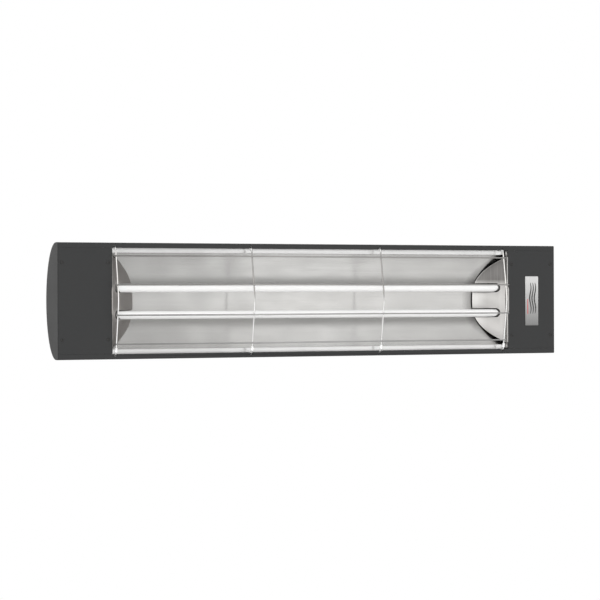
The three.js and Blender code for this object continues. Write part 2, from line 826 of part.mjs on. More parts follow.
// A spring sleeve pushed on to the straight lower end of a rib.
function guardClip(x) {
  const top = at(x, -ribRise(-clip.from), -clip.from);
  const bottom = at(x, -ribRise(-clip.to), -clip.to);
  const past = top.clone().sub(bottom).setLength(over);
  return cut(bar(clip.outer, bottom, top), bar(clip.inner, bottom.clone().sub(past), top.clone().add(past)));
}

// ---------------------------------------------------------------- brackets

// Where a straight edge from a point outside a circle touches that circle, as an angle.
function tangentAngle(fromX, fromY, radius) {
  return Math.atan2(fromY, fromX) + Math.acos(radius / Math.hypot(fromX, fromY));
}

// A U-shaped bracket: a plate on the wall and two tapering ears that hold the pivot bolt.
function wallBracket() {
  const plateFront = wallDepth - bracket.sheet;
  const touch = tangentAngle(plateFront - pivotDepth, bracket.earBaseHalfHeight, bracket.earRadius);
  const silhouette = [
    new THREE.Vector2(wallDepth, -bracket.plateHalfHeight),
    new THREE.Vector2(wallDepth, bracket.plateHalfHeight),
    new THREE.Vector2(plateFront, bracket.plateHalfHeight),
    new THREE.Vector2(plateFront, bracket.earBaseHalfHeight),
    ...arc(pivotDepth, 0, bracket.earRadius, bracket.earRadius, touch, 2 * Math.PI - touch, 14),
    new THREE.Vector2(plateFront, -bracket.earBaseHalfHeight),
    new THREE.Vector2(plateFront, -bracket.plateHalfHeight),
  ];
  const half = bracket.halfWidth;
  const inner = half - bracket.sheet;
  const between = box(at(-inner, 0, -housing.height), at(inner, plateFront, housing.height));
  const bolt = bar(bracket.boltHoleRadius, at(-half - over, pivotDepth, 0), at(half + over, pivotDepth, 0));
  const wallHoles = [-bracket.wallHoleHeight, bracket.wallHoleHeight].map((z) =>
    bar(bracket.wallHoleRadius, at(0, plateFront - over, z), at(0, wallDepth + over, z)),
  );
  return cut(alongX(silhouette, -half, half), between, bolt, ...wallHoles);
}

// A saddle that follows the housing's curved back, with two ears that reach back to the pivot bolt.
function hangerBracket() {
  const back = (offset, from, to, steps) => {
    const height = halfHeight(-offset);
    const angle = (z) => Math.asin(z / height);
    return arc(housing.side, 0, backRadius(-offset), height, angle(from), angle(to), steps);
  };
  const outer = gap + hanger.sheet;
  const foot = back(outer, hanger.earBaseHalfHeight, hanger.saddleHalfHeight, 3);
  const reach = pivotDepth - foot[0].x;
  const touch = Math.PI - tangentAngle(reach, hanger.earBaseHalfHeight, hanger.earRadius);
  const silhouette = [
    ...back(gap, hanger.saddleHalfHeight, -hanger.saddleHalfHeight, 12),
    ...back(outer, -hanger.saddleHalfHeight, -hanger.earBaseHalfHeight, 3),
    ...arc(pivotDepth, 0, hanger.earRadius, hanger.earRadius, -touch, touch, 10),
    ...foot,
  ];
  const half = hanger.halfWidth;
  const inner = half - hanger.sheet;
  const between = alongX(
    [
      ...arc(housing.side, 0, backRadius(-outer), halfHeight(-outer), -Math.PI / 3, Math.PI / 3, 24),
      new THREE.Vector2(wallDepth, halfHeight(0)),
      new THREE.Vector2(wallDepth, -halfHeight(0)),
    ],
    -inner,
    inner,
  );
  const bolt = bar(bracket.boltHoleRadius, at(-half - over, pivotDepth, 0), at(half + over, pivotDepth, 0));
  const screwHoles = [-hanger.screwHeight, hanger.screwHeight].map((z) =>
    barThroughBack(hanger.screwHoleRadius, 0, z, hanger.sheet + 2, over),
  );
  return cut(alongX(silhouette, -half, half), between, bolt, ...screwHoles);
}

// A hexagon-head screw through the saddle into the housing's back.
function hangerScrew(height) {
  const { depth, outward } = backPoint(height);
  const place = (out) => at(0, depth, height).addScaledVector(outward, out);
  const headBase = gap + hanger.sheet + gap;
  const shank = bar(hangScrew.radius, place(-hangScrew.length), place(headBase + over), 10);
  const washer = bar(hangScrew.washer, place(headBase), place(headBase + hangScrew.washerSheet), 18);
  const head = bar(hangScrew.hex, place(headBase + over), place(headBase + hangScrew.headHeight), 6);
  return join(shank, washer, head);
}

const boltFace = bracket.halfWidth + gap;

function pivotBolt() {
  const along = (x) => at(x, pivotDepth, 0);
  const shank = bar(pivot.radius, along(-boltFace - over), along(boltFace + pivot.tail));
  const washer = bar(pivot.washer, along(-boltFace - pivot.washerSheet), along(-boltFace), 18);
  const head = bar(pivot.hex, along(-boltFace - pivot.headEnd), along(-boltFace - over), 6);
  return join(shank, washer, head);
}

function pivotNut() {
  const along = (x) => at(x, pivotDepth, 0);
  const washer = bar(pivot.washer, along(boltFace), along(boltFace + pivot.washerSheet), 18);
  const nut = bar(pivot.hex, along(boltFace + over), along(boltFace + pivot.nutEnd), 6);
  const bore = bar(pivot.radius + gap, along(boltFace - over), along(boltFace + pivot.nutEnd + over));
  return cut(join(washer, nut), bore);
}

// ---------------------------------------------------------------- assembly

// Everything screwed to the wall.
function wallMount() {
  const group = new THREE.Group();
  for (const [word, side] of Object.entries(sides)) {
    const place = new THREE.Group();
    place.position.x = side * bracket.x;
    place.add(
      piece(`wall_bracket_${word}`, wallBracket(), 'blackCoat'),
      piece(`pivot_bolt_${word}`, pivotBolt(), 'zincSteel'),
      piece(`pivot_nut_${word}`, pivotNut(), 'zincSteel'),
    );
    group.add(place);
  }
  return group;
}

function hangers() {
  const group = new THREE.Group();
  for (const [word, side] of Object.entries(sides)) {
    const place = new THREE.Group();
    place.position.x = side * bracket.x;
    place.add(
      piece(`hanger_bracket_${word}`, hangerBracket(), 'blackCoat'),
      piece(`hanger_screw_${word}_upper`, hangerScrew(hanger.screwHeight), 'zincSteel'),
      piece(`hanger_screw_${word}_lower`, hangerScrew(-hanger.screwHeight), 'zincSteel'),
    );
    group.add(place);
  }
  return group;
}

function coverScrews(word, side) {
  const rows = { upper: cover.screwHeight, lower: -cover.screwHeight };
  return Object.entries(rows).flatMap(([row, height]) =>
    Object.entries(screwColumns).map(([column, x]) => {
      const screw = piece(`cover_screw_${word}_${row}_${column}`, coverScrew(), 'blackScrew');
      screw.position.set(side * x, 0, height);
      return screw;
    }),
  );
}

function casing() {
  const group = new THREE.Group();
  group.add(piece('housing_shell', housingShell(), 'blackCoat'));
  for (const [word, side] of Object.entries(sides)) {
    group.add(
      piece(`end_cap_${word}`, endCap(side), 'blackCoat'),
      piece(`cover_plate_${word}`, coverPlate(side), 'blackCoat'),
      ...coverScrews(word, side),
    );
  }
  group.add(piece('nameplate', nameplatePlate(), 'brushedAluminium'));
  return group;
}

function heatSource() {
  const group = new THREE.Group();
  group.add(piece('reflector_trough', reflectorTrough(), 'polishedAluminium'));
  for (const [row, height] of Object.entries(elementHeights)) {
    group.add(
      piece(`quartz_tube_${row}`, quartzTube(height), 'milkyQuartz'),
      piece(`heating_coil_${row}`, heatingCoil(height), 'resistanceWire'),
    );
  }
  for (const [word, side] of Object.entries(sides)) {
    group.add(
      piece(`reflector_end_${word}`, reflectorEndPlate(side), 'polishedAluminium'),
      piece(`bulkhead_${word}`, bulkheadPlate(side), 'zincSteel'),
    );
    for (const [row, height] of Object.entries(elementHeights)) {
      group.add(
        piece(`ceramic_cap_${word}_${row}`, ceramicCap(side, height), 'ceramic'),
        piece(`terminal_stud_${word}_${row}`, terminalStud(side, height), 'zincSteel'),
      );
    }
  }
  return group;
}

function wiring() {
  const group = new THREE.Group();
  group.add(
    piece('terminal_block', terminalBlock(), 'ceramic'),
    piece('lead_live', liveLead(), 'leadSleeve'),
    piece('lead_link_left', linkLead(sides.left), 'leadSleeve'),
    piece('lead_link_right', linkLead(sides.right), 'leadSleeve'),
    piece('lead_return', returnLead(), 'leadSleeve'),
    piece('lead_earth', earthLead(), 'earthSleeve'),
    piece('earth_screw', earthScrew(), 'zincSteel'),
    piece('cable_gland', cableGland(), 'blackPlastic'),
    piece('gland_locknut', glandLocknut(), 'blackPlastic'),
    piece('supply_cable', supplyCable(), 'blackRubber'),
  );
  return group;
}

function guardAssembly() {
  const group = new THREE.Group();
  group.add(piece('wire_guard', wireGuard(), 'brightWire'));
  ribPlaces.forEach((x, i) => group.add(piece(`guard_clip_${i + 1}`, guardClip(x), 'brightWire')));
  return group;
}

const heater = new THREE.Group();
heater.position.y = -middleDepth;
heater.add(wallMount(), hangers(), casing(), heatSource(), wiring(), guardAssembly());

const model = new THREE.Group();
model.add(heater);

export default model;
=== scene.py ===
"""The looks of a two-element infrared strip heater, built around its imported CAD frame.

Metres, in the CAD's own frame: X along the heater, the opening faces -Y, the wall is at +Y, +Z up.
Small sizes are written in millimetres and multiplied by MM. "Depth" is the distance behind the
housing's front plane.
"""

import json
from math import asin, copysign, cos, hypot, pi, radians, sin, sqrt

import bmesh
import bpy
from mathutils import Matrix, Vector


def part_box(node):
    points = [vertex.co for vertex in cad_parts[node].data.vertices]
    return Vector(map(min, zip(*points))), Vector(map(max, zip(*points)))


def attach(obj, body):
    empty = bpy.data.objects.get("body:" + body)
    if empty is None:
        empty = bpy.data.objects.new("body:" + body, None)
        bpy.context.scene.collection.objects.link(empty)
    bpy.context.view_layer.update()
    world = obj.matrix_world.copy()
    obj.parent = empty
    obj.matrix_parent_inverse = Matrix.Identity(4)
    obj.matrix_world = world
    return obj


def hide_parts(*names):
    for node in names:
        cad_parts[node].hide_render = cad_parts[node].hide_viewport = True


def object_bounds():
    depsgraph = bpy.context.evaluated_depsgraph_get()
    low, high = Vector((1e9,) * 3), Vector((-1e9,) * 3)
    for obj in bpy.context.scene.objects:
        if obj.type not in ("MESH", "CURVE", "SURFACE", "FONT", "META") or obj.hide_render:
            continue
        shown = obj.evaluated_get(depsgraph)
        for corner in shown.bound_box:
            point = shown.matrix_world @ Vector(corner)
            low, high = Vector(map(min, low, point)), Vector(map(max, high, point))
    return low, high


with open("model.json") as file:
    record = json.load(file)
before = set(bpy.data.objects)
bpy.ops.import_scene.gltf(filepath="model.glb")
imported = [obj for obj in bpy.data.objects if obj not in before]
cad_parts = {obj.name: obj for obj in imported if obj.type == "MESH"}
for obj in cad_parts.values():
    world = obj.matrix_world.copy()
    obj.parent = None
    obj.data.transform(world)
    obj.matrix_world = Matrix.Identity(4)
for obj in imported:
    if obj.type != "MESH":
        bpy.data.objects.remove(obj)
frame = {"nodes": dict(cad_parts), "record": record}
cad_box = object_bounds()

MM = 0.001
SIDES = {"left": -1, "right": 1}
ROWS = ("upper", "lower")
ALONG = Vector((1, 0, 0))
BACKWARDS = Vector((0, 1, 0))
UPWARDS = Vector((0, 0, 1))
CLIPS = [f"guard_clip_{number}" for number in range(1, 5)]

# ---------- places read from the frame


def centre(node):
    low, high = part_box(node)
    return (low + high) / 2


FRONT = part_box("cover_plate_left")[0].y
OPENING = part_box("cover_plate_right")[0].x
RIB_PLACES = [centre(clip).x for clip in CLIPS]
TUBE_HEIGHT = sum(abs(centre(f"quartz_tube_{row}").z) for row in ROWS) / 2


def spot(x, depth, z):
    """A point given in millimetres from the middle of the housing's front plane."""
    return Vector((x * MM, FRONT + depth * MM, z * MM))


# ---------- sizes of the reflector, in millimetres

SHEET = 0.8

TROUGH_FLOOR = 46.4
TROUGH_FOCUS = 60.6
TROUGH_EDGE = 84.0
LEDGE_DEPTH = 12.0
LEDGE_END = 98.0

PLATE_HALF = 80.0
PLATE_REACH = 53.0
PLATE_POWER = 2.8
PLATE_LEAN = 1.46
RIM_DEPTH = 8.2
FLANGE_END = 407.0
SLOT_HALF = 8.5
SLOT_END = 386.0
SLOT_RUN = 7.0
EAR_HALF = 91.0
EAR_DEPTH = 11.5


# ---------- mesh helpers


def shares(steps):
    """The fractions from 0 to 1 in equal steps."""
    return [i / steps for i in range(steps + 1)]


def turns(count):
    """Angles evenly round a circle."""
    return [2 * pi * i / count for i in range(count)]


def new_object(name, data):
    obj = bpy.data.objects.new(name, data)
    bpy.context.scene.collection.objects.link(obj)
    return obj


def smooth_by_angle(obj, degrees):
    """Smooth shading, except where two faces meet at more than this angle."""
    obj.data.shade_smooth()
    obj.data.set_sharp_from_angle(angle=radians(degrees))


def face_outwards(mesh):
    """Turns every face of the closed shapes in a mesh to face out."""
    work = bmesh.new()
    work.from_mesh(mesh)
    bmesh.ops.recalc_face_normals(work, faces=work.faces)
    work.to_mesh(mesh)
    work.free()


def add_piece(name, shape, body, slot, node=None, look=None, degrees=35, closed=True):
    """A piece that rides on a body, in its slot's look or its own, and stands in for a CAD node."""
    vertices, faces = shape
    mesh = bpy.data.meshes.new(name)
    mesh.from_pydata([tuple(v) for v in vertices], [], faces)
    mesh.validate()
    if closed:
        face_outwards(mesh)
    mesh.update()
    mesh.materials.append(look or LOOKS[slot])
    obj = new_object(name, mesh)
    smooth_by_angle(obj, degrees)
    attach(obj, body)
    if node:
        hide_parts(node)
    return obj


class Parts:
    """Several closed shapes gathered into one mesh, each with a material number."""

    def __init__(self):
        self.vertices = []
        self.faces = []
        self.numbers = []

    def add(self, shape, number=0):
        vertices, faces = shape
        start = len(self.vertices)
        self.vertices += vertices
        self.faces += [tuple(start + i for i in face) for face in faces]
        self.numbers += [number] * len(faces)

    def piece(self, name, body, slot, node, *more_looks, degrees=35):
        obj = add_piece(name, (self.vertices, self.faces), body, slot, node, degrees=degrees)
        for look in more_looks:
            obj.data.materials.append(look)
        for polygon, number in zip(obj.data.polygons, self.numbers):
            polygon.material_index = number


def loft(rings, closed=False):
    """Quads between rings of equally many points. Open lofts are capped at both ends."""
    count = len(rings[0])
    vertices = [point for ring in rings for point in ring]
    faces = []
    for i in range(len(rings) if closed else len(rings) - 1):
        here = i * count
        there = (i + 1) % len(rings) * count
        for j in range(count):
            k = (j + 1) % count
            faces.append((here + j, here + k, there + k, there + j))
    if not closed:
        faces.append(tuple(reversed(range(count))))
        faces.append(tuple(range(len(vertices) - count, len(vertices))))
    return vertices, faces


def axis_frame(direction):
    """Two directions square to the given one and to each other."""
    along = Vector(direction).normalized()
    helper = UPWARDS if abs(along.z) < 0.9 else ALONG
    across = helper.cross(along).normalized()
    return across, along.cross(across)


def ring_around(middle, across, up, radius, count):
    """Points evenly round a middle. The radius is in metres."""
    return [middle + (across * cos(a) + up * sin(a)) * radius for a in turns(count)]


def revolve(origin, direction, profile, segments=32, closed=False):
    """A turned solid: each profile point is (distance along the axis, radius), in millimetres.

    A closed profile comes back to its first point, such as a tube's or a washer's.
    """
    along = Vector(direction).normalized()
    across, up = axis_frame(along)
    rings = []
    for distance, radius in profile:
        middle = Vector(origin) + along * distance * MM
        rings.append(ring_around(middle, across, up, radius * MM, segments))
    return loft(rings, closed)


def hexagon(origin, direction, across_corners, start, end, bevel=0.9, bore=0.0):
    """A hexagon head or nut with its corners turned down at the outer end, in millimetres."""
    flat = across_corners / 2 * cos(pi / 6)
    profile = [(start, flat), (end - bevel, flat), (end, flat * 0.97)]
    if bore:
        profile += [(end, bore), (start, bore)]
    angles = turns(48)
    vertices, faces = revolve(origin, direction, profile, len(angles), closed=bool(bore))
    along = Vector(direction).normalized()
    for i, angle in enumerate(angles * 2):
        to_flat = (angle + pi / 6) % (pi / 3) - pi / 6
        outward = vertices[i] - Vector(origin)
        outward -= along * outward.dot(along)
        vertices[i] += outward * (1 / cos(to_flat) - 1)
    return vertices, faces


def sweep(points, radius, sides=12):
    """Round wire along a list of points, with slightly rounded ends. The radius is in metres."""
    points = [Vector(p) for p in points]
    last = len(points) - 1
    full = (0.0, 1.0)
    stations = {0: [(-0.35, 0.55), full], last: [full, (0.35, 0.55)]}
    across, _ = axis_frame(points[1] - points[0])
    rings = []
    for i, point in enumerate(points):
        tangent = (points[min(i + 1, last)] - points[max(i - 1, 0)]).normalized()
        across = (across - tangent * across.dot(tangent)).normalized()
        up = tangent.cross(across)
        for shift, share in stations.get(i, [full]):
            middle = point + tangent * shift * radius
            rings.append(ring_around(middle, across, up, radius * share, sides))
    return loft(rings)


def smooth_curve(points, steps_each):
    """Points of a Catmull-Rom curve through the listed points."""
    points = [Vector(p) for p in points]
    padded = [points[0] * 2 - points[1]] + points + [points[-1] * 2 - points[-2]]
    result = []
    for i in range(1, len(padded) - 2):
        a, b, c, d = padded[i - 1:i + 3]
        for j in range(steps_each):
            t = j / steps_each
            result.append(0.5 * (
                2 * b + (c - a) * t + (2 * a - 5 * b + 4 * c - d) * t * t
                + (3 * b - a - 3 * c + d) * t ** 3
            ))
    return result + [points[-1]]


def round_edges(obj, width, degrees):
    """Rounds the edges that are sharper than an angle. The width is in millimetres."""
    rounding = obj.modifiers.new("edge rounding", "BEVEL")
    rounding.width = width * MM
    rounding.segments = 2
    rounding.limit_method = "ANGLE"
    rounding.angle_limit = radians(degrees)
    return rounding


# ---------- material helpers


class Nodes:
    """A node tree, for a material or the world: a value that is a socket is linked to its input."""

    def __init__(self, owner):
        owner.use_nodes = True
        self.tree = owner.node_tree
        self.tree.nodes.clear()

    def add(self, kind, inputs=None, **settings):
        node = self.tree.nodes.new(kind)
        for key, value in settings.items():
            setattr(node, key, value)
        for key, value in (inputs or {}).items():
            if isinstance(value, bpy.types.NodeSocket):
                self.tree.links.new(value, node.inputs[key])
            else:
                node.inputs[key].default_value = value
        return node

    def math(self, operation, *values, clamp=False):
        node = self.add("ShaderNodeMath", dict(enumerate(values)), operation=operation, use_clamp=clamp)
        return node.outputs[0]

    def vector_math(self, operation, *values):
        node = self.add("ShaderNodeVectorMath", dict(enumerate(values)), operation=operation)
        return node.outputs["Value" if operation in ("LENGTH", "DOT_PRODUCT") else "Vector"]

    def split(self, vector):
        """A vector's X, Y and Z."""
        return self.add("ShaderNodeSeparateXYZ", {"Vector": vector}).outputs

    def ramp(self, amount, start, end, low, high):
        """A value that runs from low to high as the amount runs from start to end, and stops there."""
        return self.add("ShaderNodeMapRange", {
            "Value": amount, "From Min": start, "From Max": end, "To Min": low, "To Max": high,
        }).outputs["Result"]

    def blend(self, amount, first, second):
        """A colour between two colours or sockets."""
        return self.add("ShaderNodeMix", {0: amount, 6: first, 7: second}, data_type="RGBA").outputs[2]

    def levels(self, amount, *stops):
        """A grey level that follows (amount, level) stops, the first of them at -1 and the last at 1."""
        node = self.add("ShaderNodeValToRGB", {"Fac": self.ramp(amount, -1.0, 1.0, 0.0, 1.0)})
        elements = node.color_ramp.elements
        for place, _ in stops[1:-1]:
            elements.new((place + 1) / 2)
        for element, (_, level) in zip(elements, stops):
            element.color = (level, level, level, 1)
        return node.outputs["Color"]


class Shader(Nodes):
    """A material, with patterns placed by the piece's own coordinates."""

    def __init__(self, name):
        self.material = bpy.data.materials.new(name)
        super().__init__(self.material)
        self.place = self.add("ShaderNodeTexCoord").outputs["Object"]

    def stretched(self, *scales):
        """The place, scaled by different amounts along X, Y and Z."""
        return self.add("ShaderNodeMapping", {"Vector": self.place, "Scale": scales}).outputs["Vector"]

    def noise(self, scale, detail):
        inputs = {"Vector": self.place, "Scale": scale, "Detail": detail}
        return self.add("ShaderNodeTexNoise", inputs).outputs["Fac"]

    def streaks(self, detail, *scales):
        """A noise drawn out along the axes that have the smaller scales."""
        inputs = {"Vector": self.stretched(*scales), "Scale": 1.0, "Detail": detail}
        return self.add("ShaderNodeTexNoise", inputs).outputs["Fac"]

    def between(self, amount, low, high):
        """A value that runs from low to high over the middle range of a noise."""
        return self.ramp(amount, 0.3, 0.7, low, high)

    def bump(self, height, distance, strength=1.0, normal=None):
        inputs = {"Height": height, "Distance": distance, "Strength": strength}
        if normal is not None:
            inputs["Normal"] = normal
        return self.add("ShaderNodeBump", inputs).outputs["Normal"]

    def edge_wear(self, radius):
        """Near 1 along convex edges and 0 on flat faces."""
        rounded = self.add("ShaderNodeBevel", {"Radius": radius}, samples=4).outputs["Normal"]
        plain = self.add("ShaderNodeNewGeometry").outputs["Normal"]
        return self.ramp(self.vector_math("DOT_PRODUCT", rounded, plain), 0.98, 0.8, 0.0, 1.0)

    def finish(self, colour, roughness, normal=None, **more):
        """Ends the material with a principled surface; underscores in a name stand for spaces."""
        inputs = {key.replace("_", " "): value for key, value in more.items()}
        inputs |= {"Base Color": colour, "Roughness": roughness}
        if normal:
            inputs["Normal"] = normal
        surface = self.add("ShaderNodeBsdfPrincipled", inputs)
        self.add("ShaderNodeOutputMaterial", {"Surface": surface.outputs["BSDF"]})
        return self.material


def grey(value, warmth=0.0):
    """A near-neutral colour, slightly warm or cool."""
    return (value * (1 + warmth), value, value * (1 - warmth), 1.0)


# ---------- materials


def powder_coat():
    """Satin black powder coat: fine orange peel, faint cloudiness, edges rubbed a little lighter."""
    s = Shader("powder_coat")
    clouds = s.noise(9.0, 3.0)
    grain = s.noise(1500.0, 2.0)
    body = s.blend(clouds, grey(0.012, -0.10), grey(0.016, -0.02))
    speckled = s.blend(s.between(grain, 0.0, 0.12), body, grey(0.05))
    peel = s.bump(s.noise(850.0, 1.0), 0.03 * MM, 0.6)
    worn = s.blend(s.edge_wear(0.5 * MM), speckled, grey(0.045))
    normal = s.bump(grain, 0.008 * MM, 0.5, peel)
    return s.finish(worn, s.between(clouds, 0.40, 0.48), normal, Specular_IOR_Level=0.46)


def black_oxide():
    """Blackened screw steel, dull, with its edges rubbed a little lighter."""
    s = Shader("black_oxide")
    patches = s.noise(700.0, 3.0)
    colour = s.blend(patches, grey(0.014), grey(0.024, 0.03))
    worn = s.blend(s.edge_wear(0.2 * MM), colour, grey(0.06, 0.03))
    return s.finish(worn, s.between(patches, 0.40, 0.52), s.bump(patches, 0.01 * MM, 0.5))


def reflector_sheet():
    """Rolled aluminium: fine streaks along X, slow changes of tint and gloss, a few dull smudges, ledges
    painted brighter as painted light, and painted shade beside the right-hand end plate's edge.
    """
    s = Shader("reflector_sheet")
    streaks = s.streaks(4.0, 5.0, 900.0, 900.0)
    broad = s.streaks(2.0, 3.2, 14.0, 14.0)
    smudges = s.streaks(3.0, 22.0, 60.0, 60.0)
    tint = s.blend(broad, (0.66, 0.665, 0.66, 1), (0.70, 0.69, 0.675, 1))
    streaked = s.blend(s.between(streaks, 0.0, 0.45), tint, grey(0.58, 0.01))
    smudged = s.blend(s.between(smudges, 0.0, 0.16), streaked, grey(0.50, 0.02))
    waves = s.bump(s.streaks(1.0, 9.0, 26.0, 26.0), 0.25 * MM, 0.3)
    x, _, z = s.split(s.place)
    on_ledge = s.math("GREATER_THAN", s.math("ABSOLUTE", z), (TROUGH_EDGE + 0.5) * MM)
    # Painted light: the ledges are painted brighter than the trough of the same folded sheet.
    ledges_painted_light = s.blend(on_ledge, smudged, grey(0.93))
    # Painted shade: the trough darkens within 22 mm of the right-hand end plate's curved edge.
    painted_shade_beside_plate = s.ramp(before_plate_edge(s, x, z), 22 * MM, 0.0, 0.0, 0.8)
    rough = s.math("ADD", s.between(broad, 0.20, 0.24), s.between(smudges, -0.01, 0.03))
    upright = s.add("ShaderNodeCombineXYZ", {"Z": 1.0}).outputs["Vector"]
    across = s.add(
        "ShaderNodeVectorTransform", {"Vector": upright},
        vector_type="VECTOR", convert_from="OBJECT", convert_to="WORLD",
    ).outputs["Vector"]
    return s.finish(
        s.blend(painted_shade_beside_plate, ledges_painted_light, grey(0.24, 0.02)), s.math("MULTIPLY_ADD", on_ledge, 0.08, rough),
        s.bump(streaks, 0.006 * MM, 0.3, waves), Metallic=1.0, Anisotropic=0.85, Tangent=across,
    )


def before_plate_edge(s, x, z):
    """How far a place lies, along X, before the right-hand end plate's curved edge; negative on the plate."""
    share = s.math("DIVIDE", s.math("ABSOLUTE", z), PLATE_HALF * MM)
    bend = s.math("POWER", share, PLATE_POWER)
    edge = s.math("MULTIPLY_ADD", bend, PLATE_REACH * MM, OPENING - PLATE_REACH * MM)
    return s.math("SUBTRACT", edge, x)


def end_plate_sheet():
    """Brushed aluminium of the end plates: the left plate painted darker than the right as painted shade, the
    right one darker near its rim, and painted shade over the right one's upper half inside its edges.
    """
    s = Shader("end_plate_sheet")
    x, _, z = s.split(s.place)
    lines = s.streaks(4.0, 700.0, 700.0, 14.0)
    on_right = s.ramp(x, -0.1, 0.1, 0.0, 1.0)
    near_rim = s.ramp(x, OPENING - 46 * MM, OPENING - 30 * MM, 0.0, 1.0)
    right_sheet = s.blend(near_rim, (0.70, 0.69, 0.68, 1), (0.52, 0.51, 0.50, 1))
    # Painted shade: the left plate in a darker tone than the right one.
    sheet = s.blend(on_right, (0.48, 0.455, 0.44, 1), right_sheet)
    # Painted shade over the right plate's upper half, kept off its cut edge and its rim.
    by_height = s.math("MULTIPLY", s.ramp(z, 28 * MM, 38 * MM, 0.0, 0.9), on_right)
    cut_edge = s.ramp(before_plate_edge(s, x, z), -1.8 * MM, -0.9 * MM, 0.0, 0.30)
    rim = s.ramp(x, OPENING - 2.6 * MM, OPENING - 1.4 * MM, 0.0, 0.75)
    painted_shade_mask = s.math("SUBTRACT", by_height, s.math("ADD", cut_edge, rim), clamp=True)
    painted_shade_sheet = s.blend(painted_shade_mask, sheet, (0.115, 0.11, 0.106, 1))
    streaked = s.blend(s.between(lines, 0.0, 0.18), painted_shade_sheet, grey(0.50, 0.02))
    rough = s.between(s.noise(24.0, 3.0), 0.30, 0.38)
    return s.finish(streaked, rough, s.bump(lines, 0.006 * MM, 0.3), Metallic=1.0)


def brushed_plate():
    """Aluminium brushed along its length, with a painted reflection that darkens it towards its foot, and
    clear lacquer.
    """
    s = Shader("brushed_plate")
    lines = s.streaks(5.0, 2600.0, 2600.0, 22.0)
    low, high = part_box("nameplate")
    # Painted reflection: dark at the plate's foot, light at its top.
    painted_reflection_fade = s.ramp(s.split(s.place)["Z"], low.z, high.z, 0.0, 1.0)
    dark = s.blend(lines, grey(0.22), grey(0.30))
    light = s.blend(lines, grey(0.68), grey(0.80))
    return s.finish(
        s.blend(painted_reflection_fade, dark, light), s.between(lines, 0.26, 0.4), s.bump(lines, 0.012 * MM, 0.5),
        Metallic=1.0, Coat_Weight=0.15, Coat_Roughness=0.12,
    )


def stainless_wire(name, lower, upper):
    """Drawn wire with faint die lines, one tone below the heater's middle and another above it as painted
    light and shade, and a painted highlight at its hooks.
    """
    s = Shader(name)
    tint = s.noise(14.0, 2.0)
    height = s.split(s.place)["Z"]
    # Painted light and shade: the wire's tone changes across the heater's middle.
    by_height = s.blend(s.ramp(height, -6 * MM, 12 * MM, 0.0, 1.0), grey(lower), grey(upper, 0.02))
    mottled = s.blend(s.between(tint, 0.0, 0.2), by_height, grey(0.55, 0.03))
    # Painted highlight on the hooks' bends.
    hook_highlight = s.blend(s.ramp(height, 86 * MM, 90 * MM, 0.0, 1.0), mottled, grey(0.96))
    scratches = s.bump(s.noise(900.0, 3.0), 0.006 * MM, 0.5)
    return s.finish(hook_highlight, s.between(tint, 0.10, 0.17), scratches, Metallic=1.0)


def painted_highlight_clip():
    """Springs painted near white as a painted highlight, whiter than the wire that they sit on."""
    s = Shader("painted_highlight_clip")
    clouds = s.noise(300.0, 2.0)
    # Painted highlight: a near-white colour.
    colour = s.blend(clouds, grey(0.93), grey(0.97))
    return s.finish(colour, s.between(clouds, 0.28, 0.38), s.bump(clouds, 0.006 * MM, 0.4), Metallic=0.15)


def zinc_plate():
    s = Shader("zinc_plate")
    clouds = s.noise(160.0, 3.0)
    colour = s.blend(clouds, grey(0.52, -0.02), grey(0.68, 0.02))
    grain = s.bump(s.noise(1400.0, 2.0), 0.008 * MM, 0.6)
    return s.finish(colour, s.between(clouds, 0.26, 0.42), grain, Metallic=1.0)


def galvanised_sheet():
    """Zinc-plated sheet with a faint crystal spangle."""
    s = Shader("galvanised_sheet")
    cells = s.add("ShaderNodeTexVoronoi", {"Vector": s.place, "Scale": 170.0}).outputs["Color"]
    value = s.add("ShaderNodeSeparateColor", {"Color": cells}).outputs[0]
    colour = s.blend(s.between(value, 0.0, 1.0), grey(0.46, -0.02), grey(0.62))
    grain = s.bump(s.noise(900.0, 2.0), 0.006 * MM, 0.5)
    return s.finish(colour, s.between(value, 0.32, 0.5), grain, Metallic=1.0)


def behind_end_plate(s):
    """Near 1 on a tube's ends, painted dark as the end plates' shadow, which starts as a rounded line inside
    the end plates' slots.
    """
    x, _, z = s.split(s.place)
    sideways = s.math("SUBTRACT", s.math("ABSOLUTE", z), TUBE_HEIGHT)
    squared = s.math("MULTIPLY", sideways, sideways)
    rounded = s.math("MULTIPLY_ADD", squared, 90.0, s.math("ABSOLUTE", x))
    start = s.ramp(x, -0.1, 0.1, (SLOT_END - 7.0) * MM, (SLOT_END - 3.2) * MM)
    return s.ramp(s.math("SUBTRACT", rounded, start), -0.8 * MM, 0.8 * MM, 0.0, 1.0)


def milky_quartz():
    """White fused quartz, cloudy, with faint lengthwise draw lines; some real subsurface light and a painted
    glow stand in for the light it passes to its far side.
    """
    s = Shader("milky_quartz")
    clouds = s.streaks(3.0, 12.0, 90.0, 90.0)
    draw = s.streaks(3.0, 2.0, 1200.0, 1200.0)
    body = s.blend(clouds, (0.635, 0.64, 0.645, 1), (0.69, 0.69, 0.685, 1))
    # Painted shadow of the end plates over the tube's ends.
    plate_shadow = behind_end_plate(s)
    return s.finish(
        s.blend(plate_shadow, body, grey(0.10, 0.03)), s.between(clouds, 0.16, 0.26),
        s.bump(draw, 0.008 * MM, 0.5), IOR=1.46,
        Subsurface_Weight=0.25, Subsurface_Radius=(0.004, 0.004, 0.004), Subsurface_Scale=1.0,
        # Painted glow, switched off over the painted shadow at the ends.
        Emission_Color=(1.0, 1.0, 1.0, 1.0), Emission_Strength=s.ramp(plate_shadow, 0.0, 1.0, 0.13, 0.0),
    )


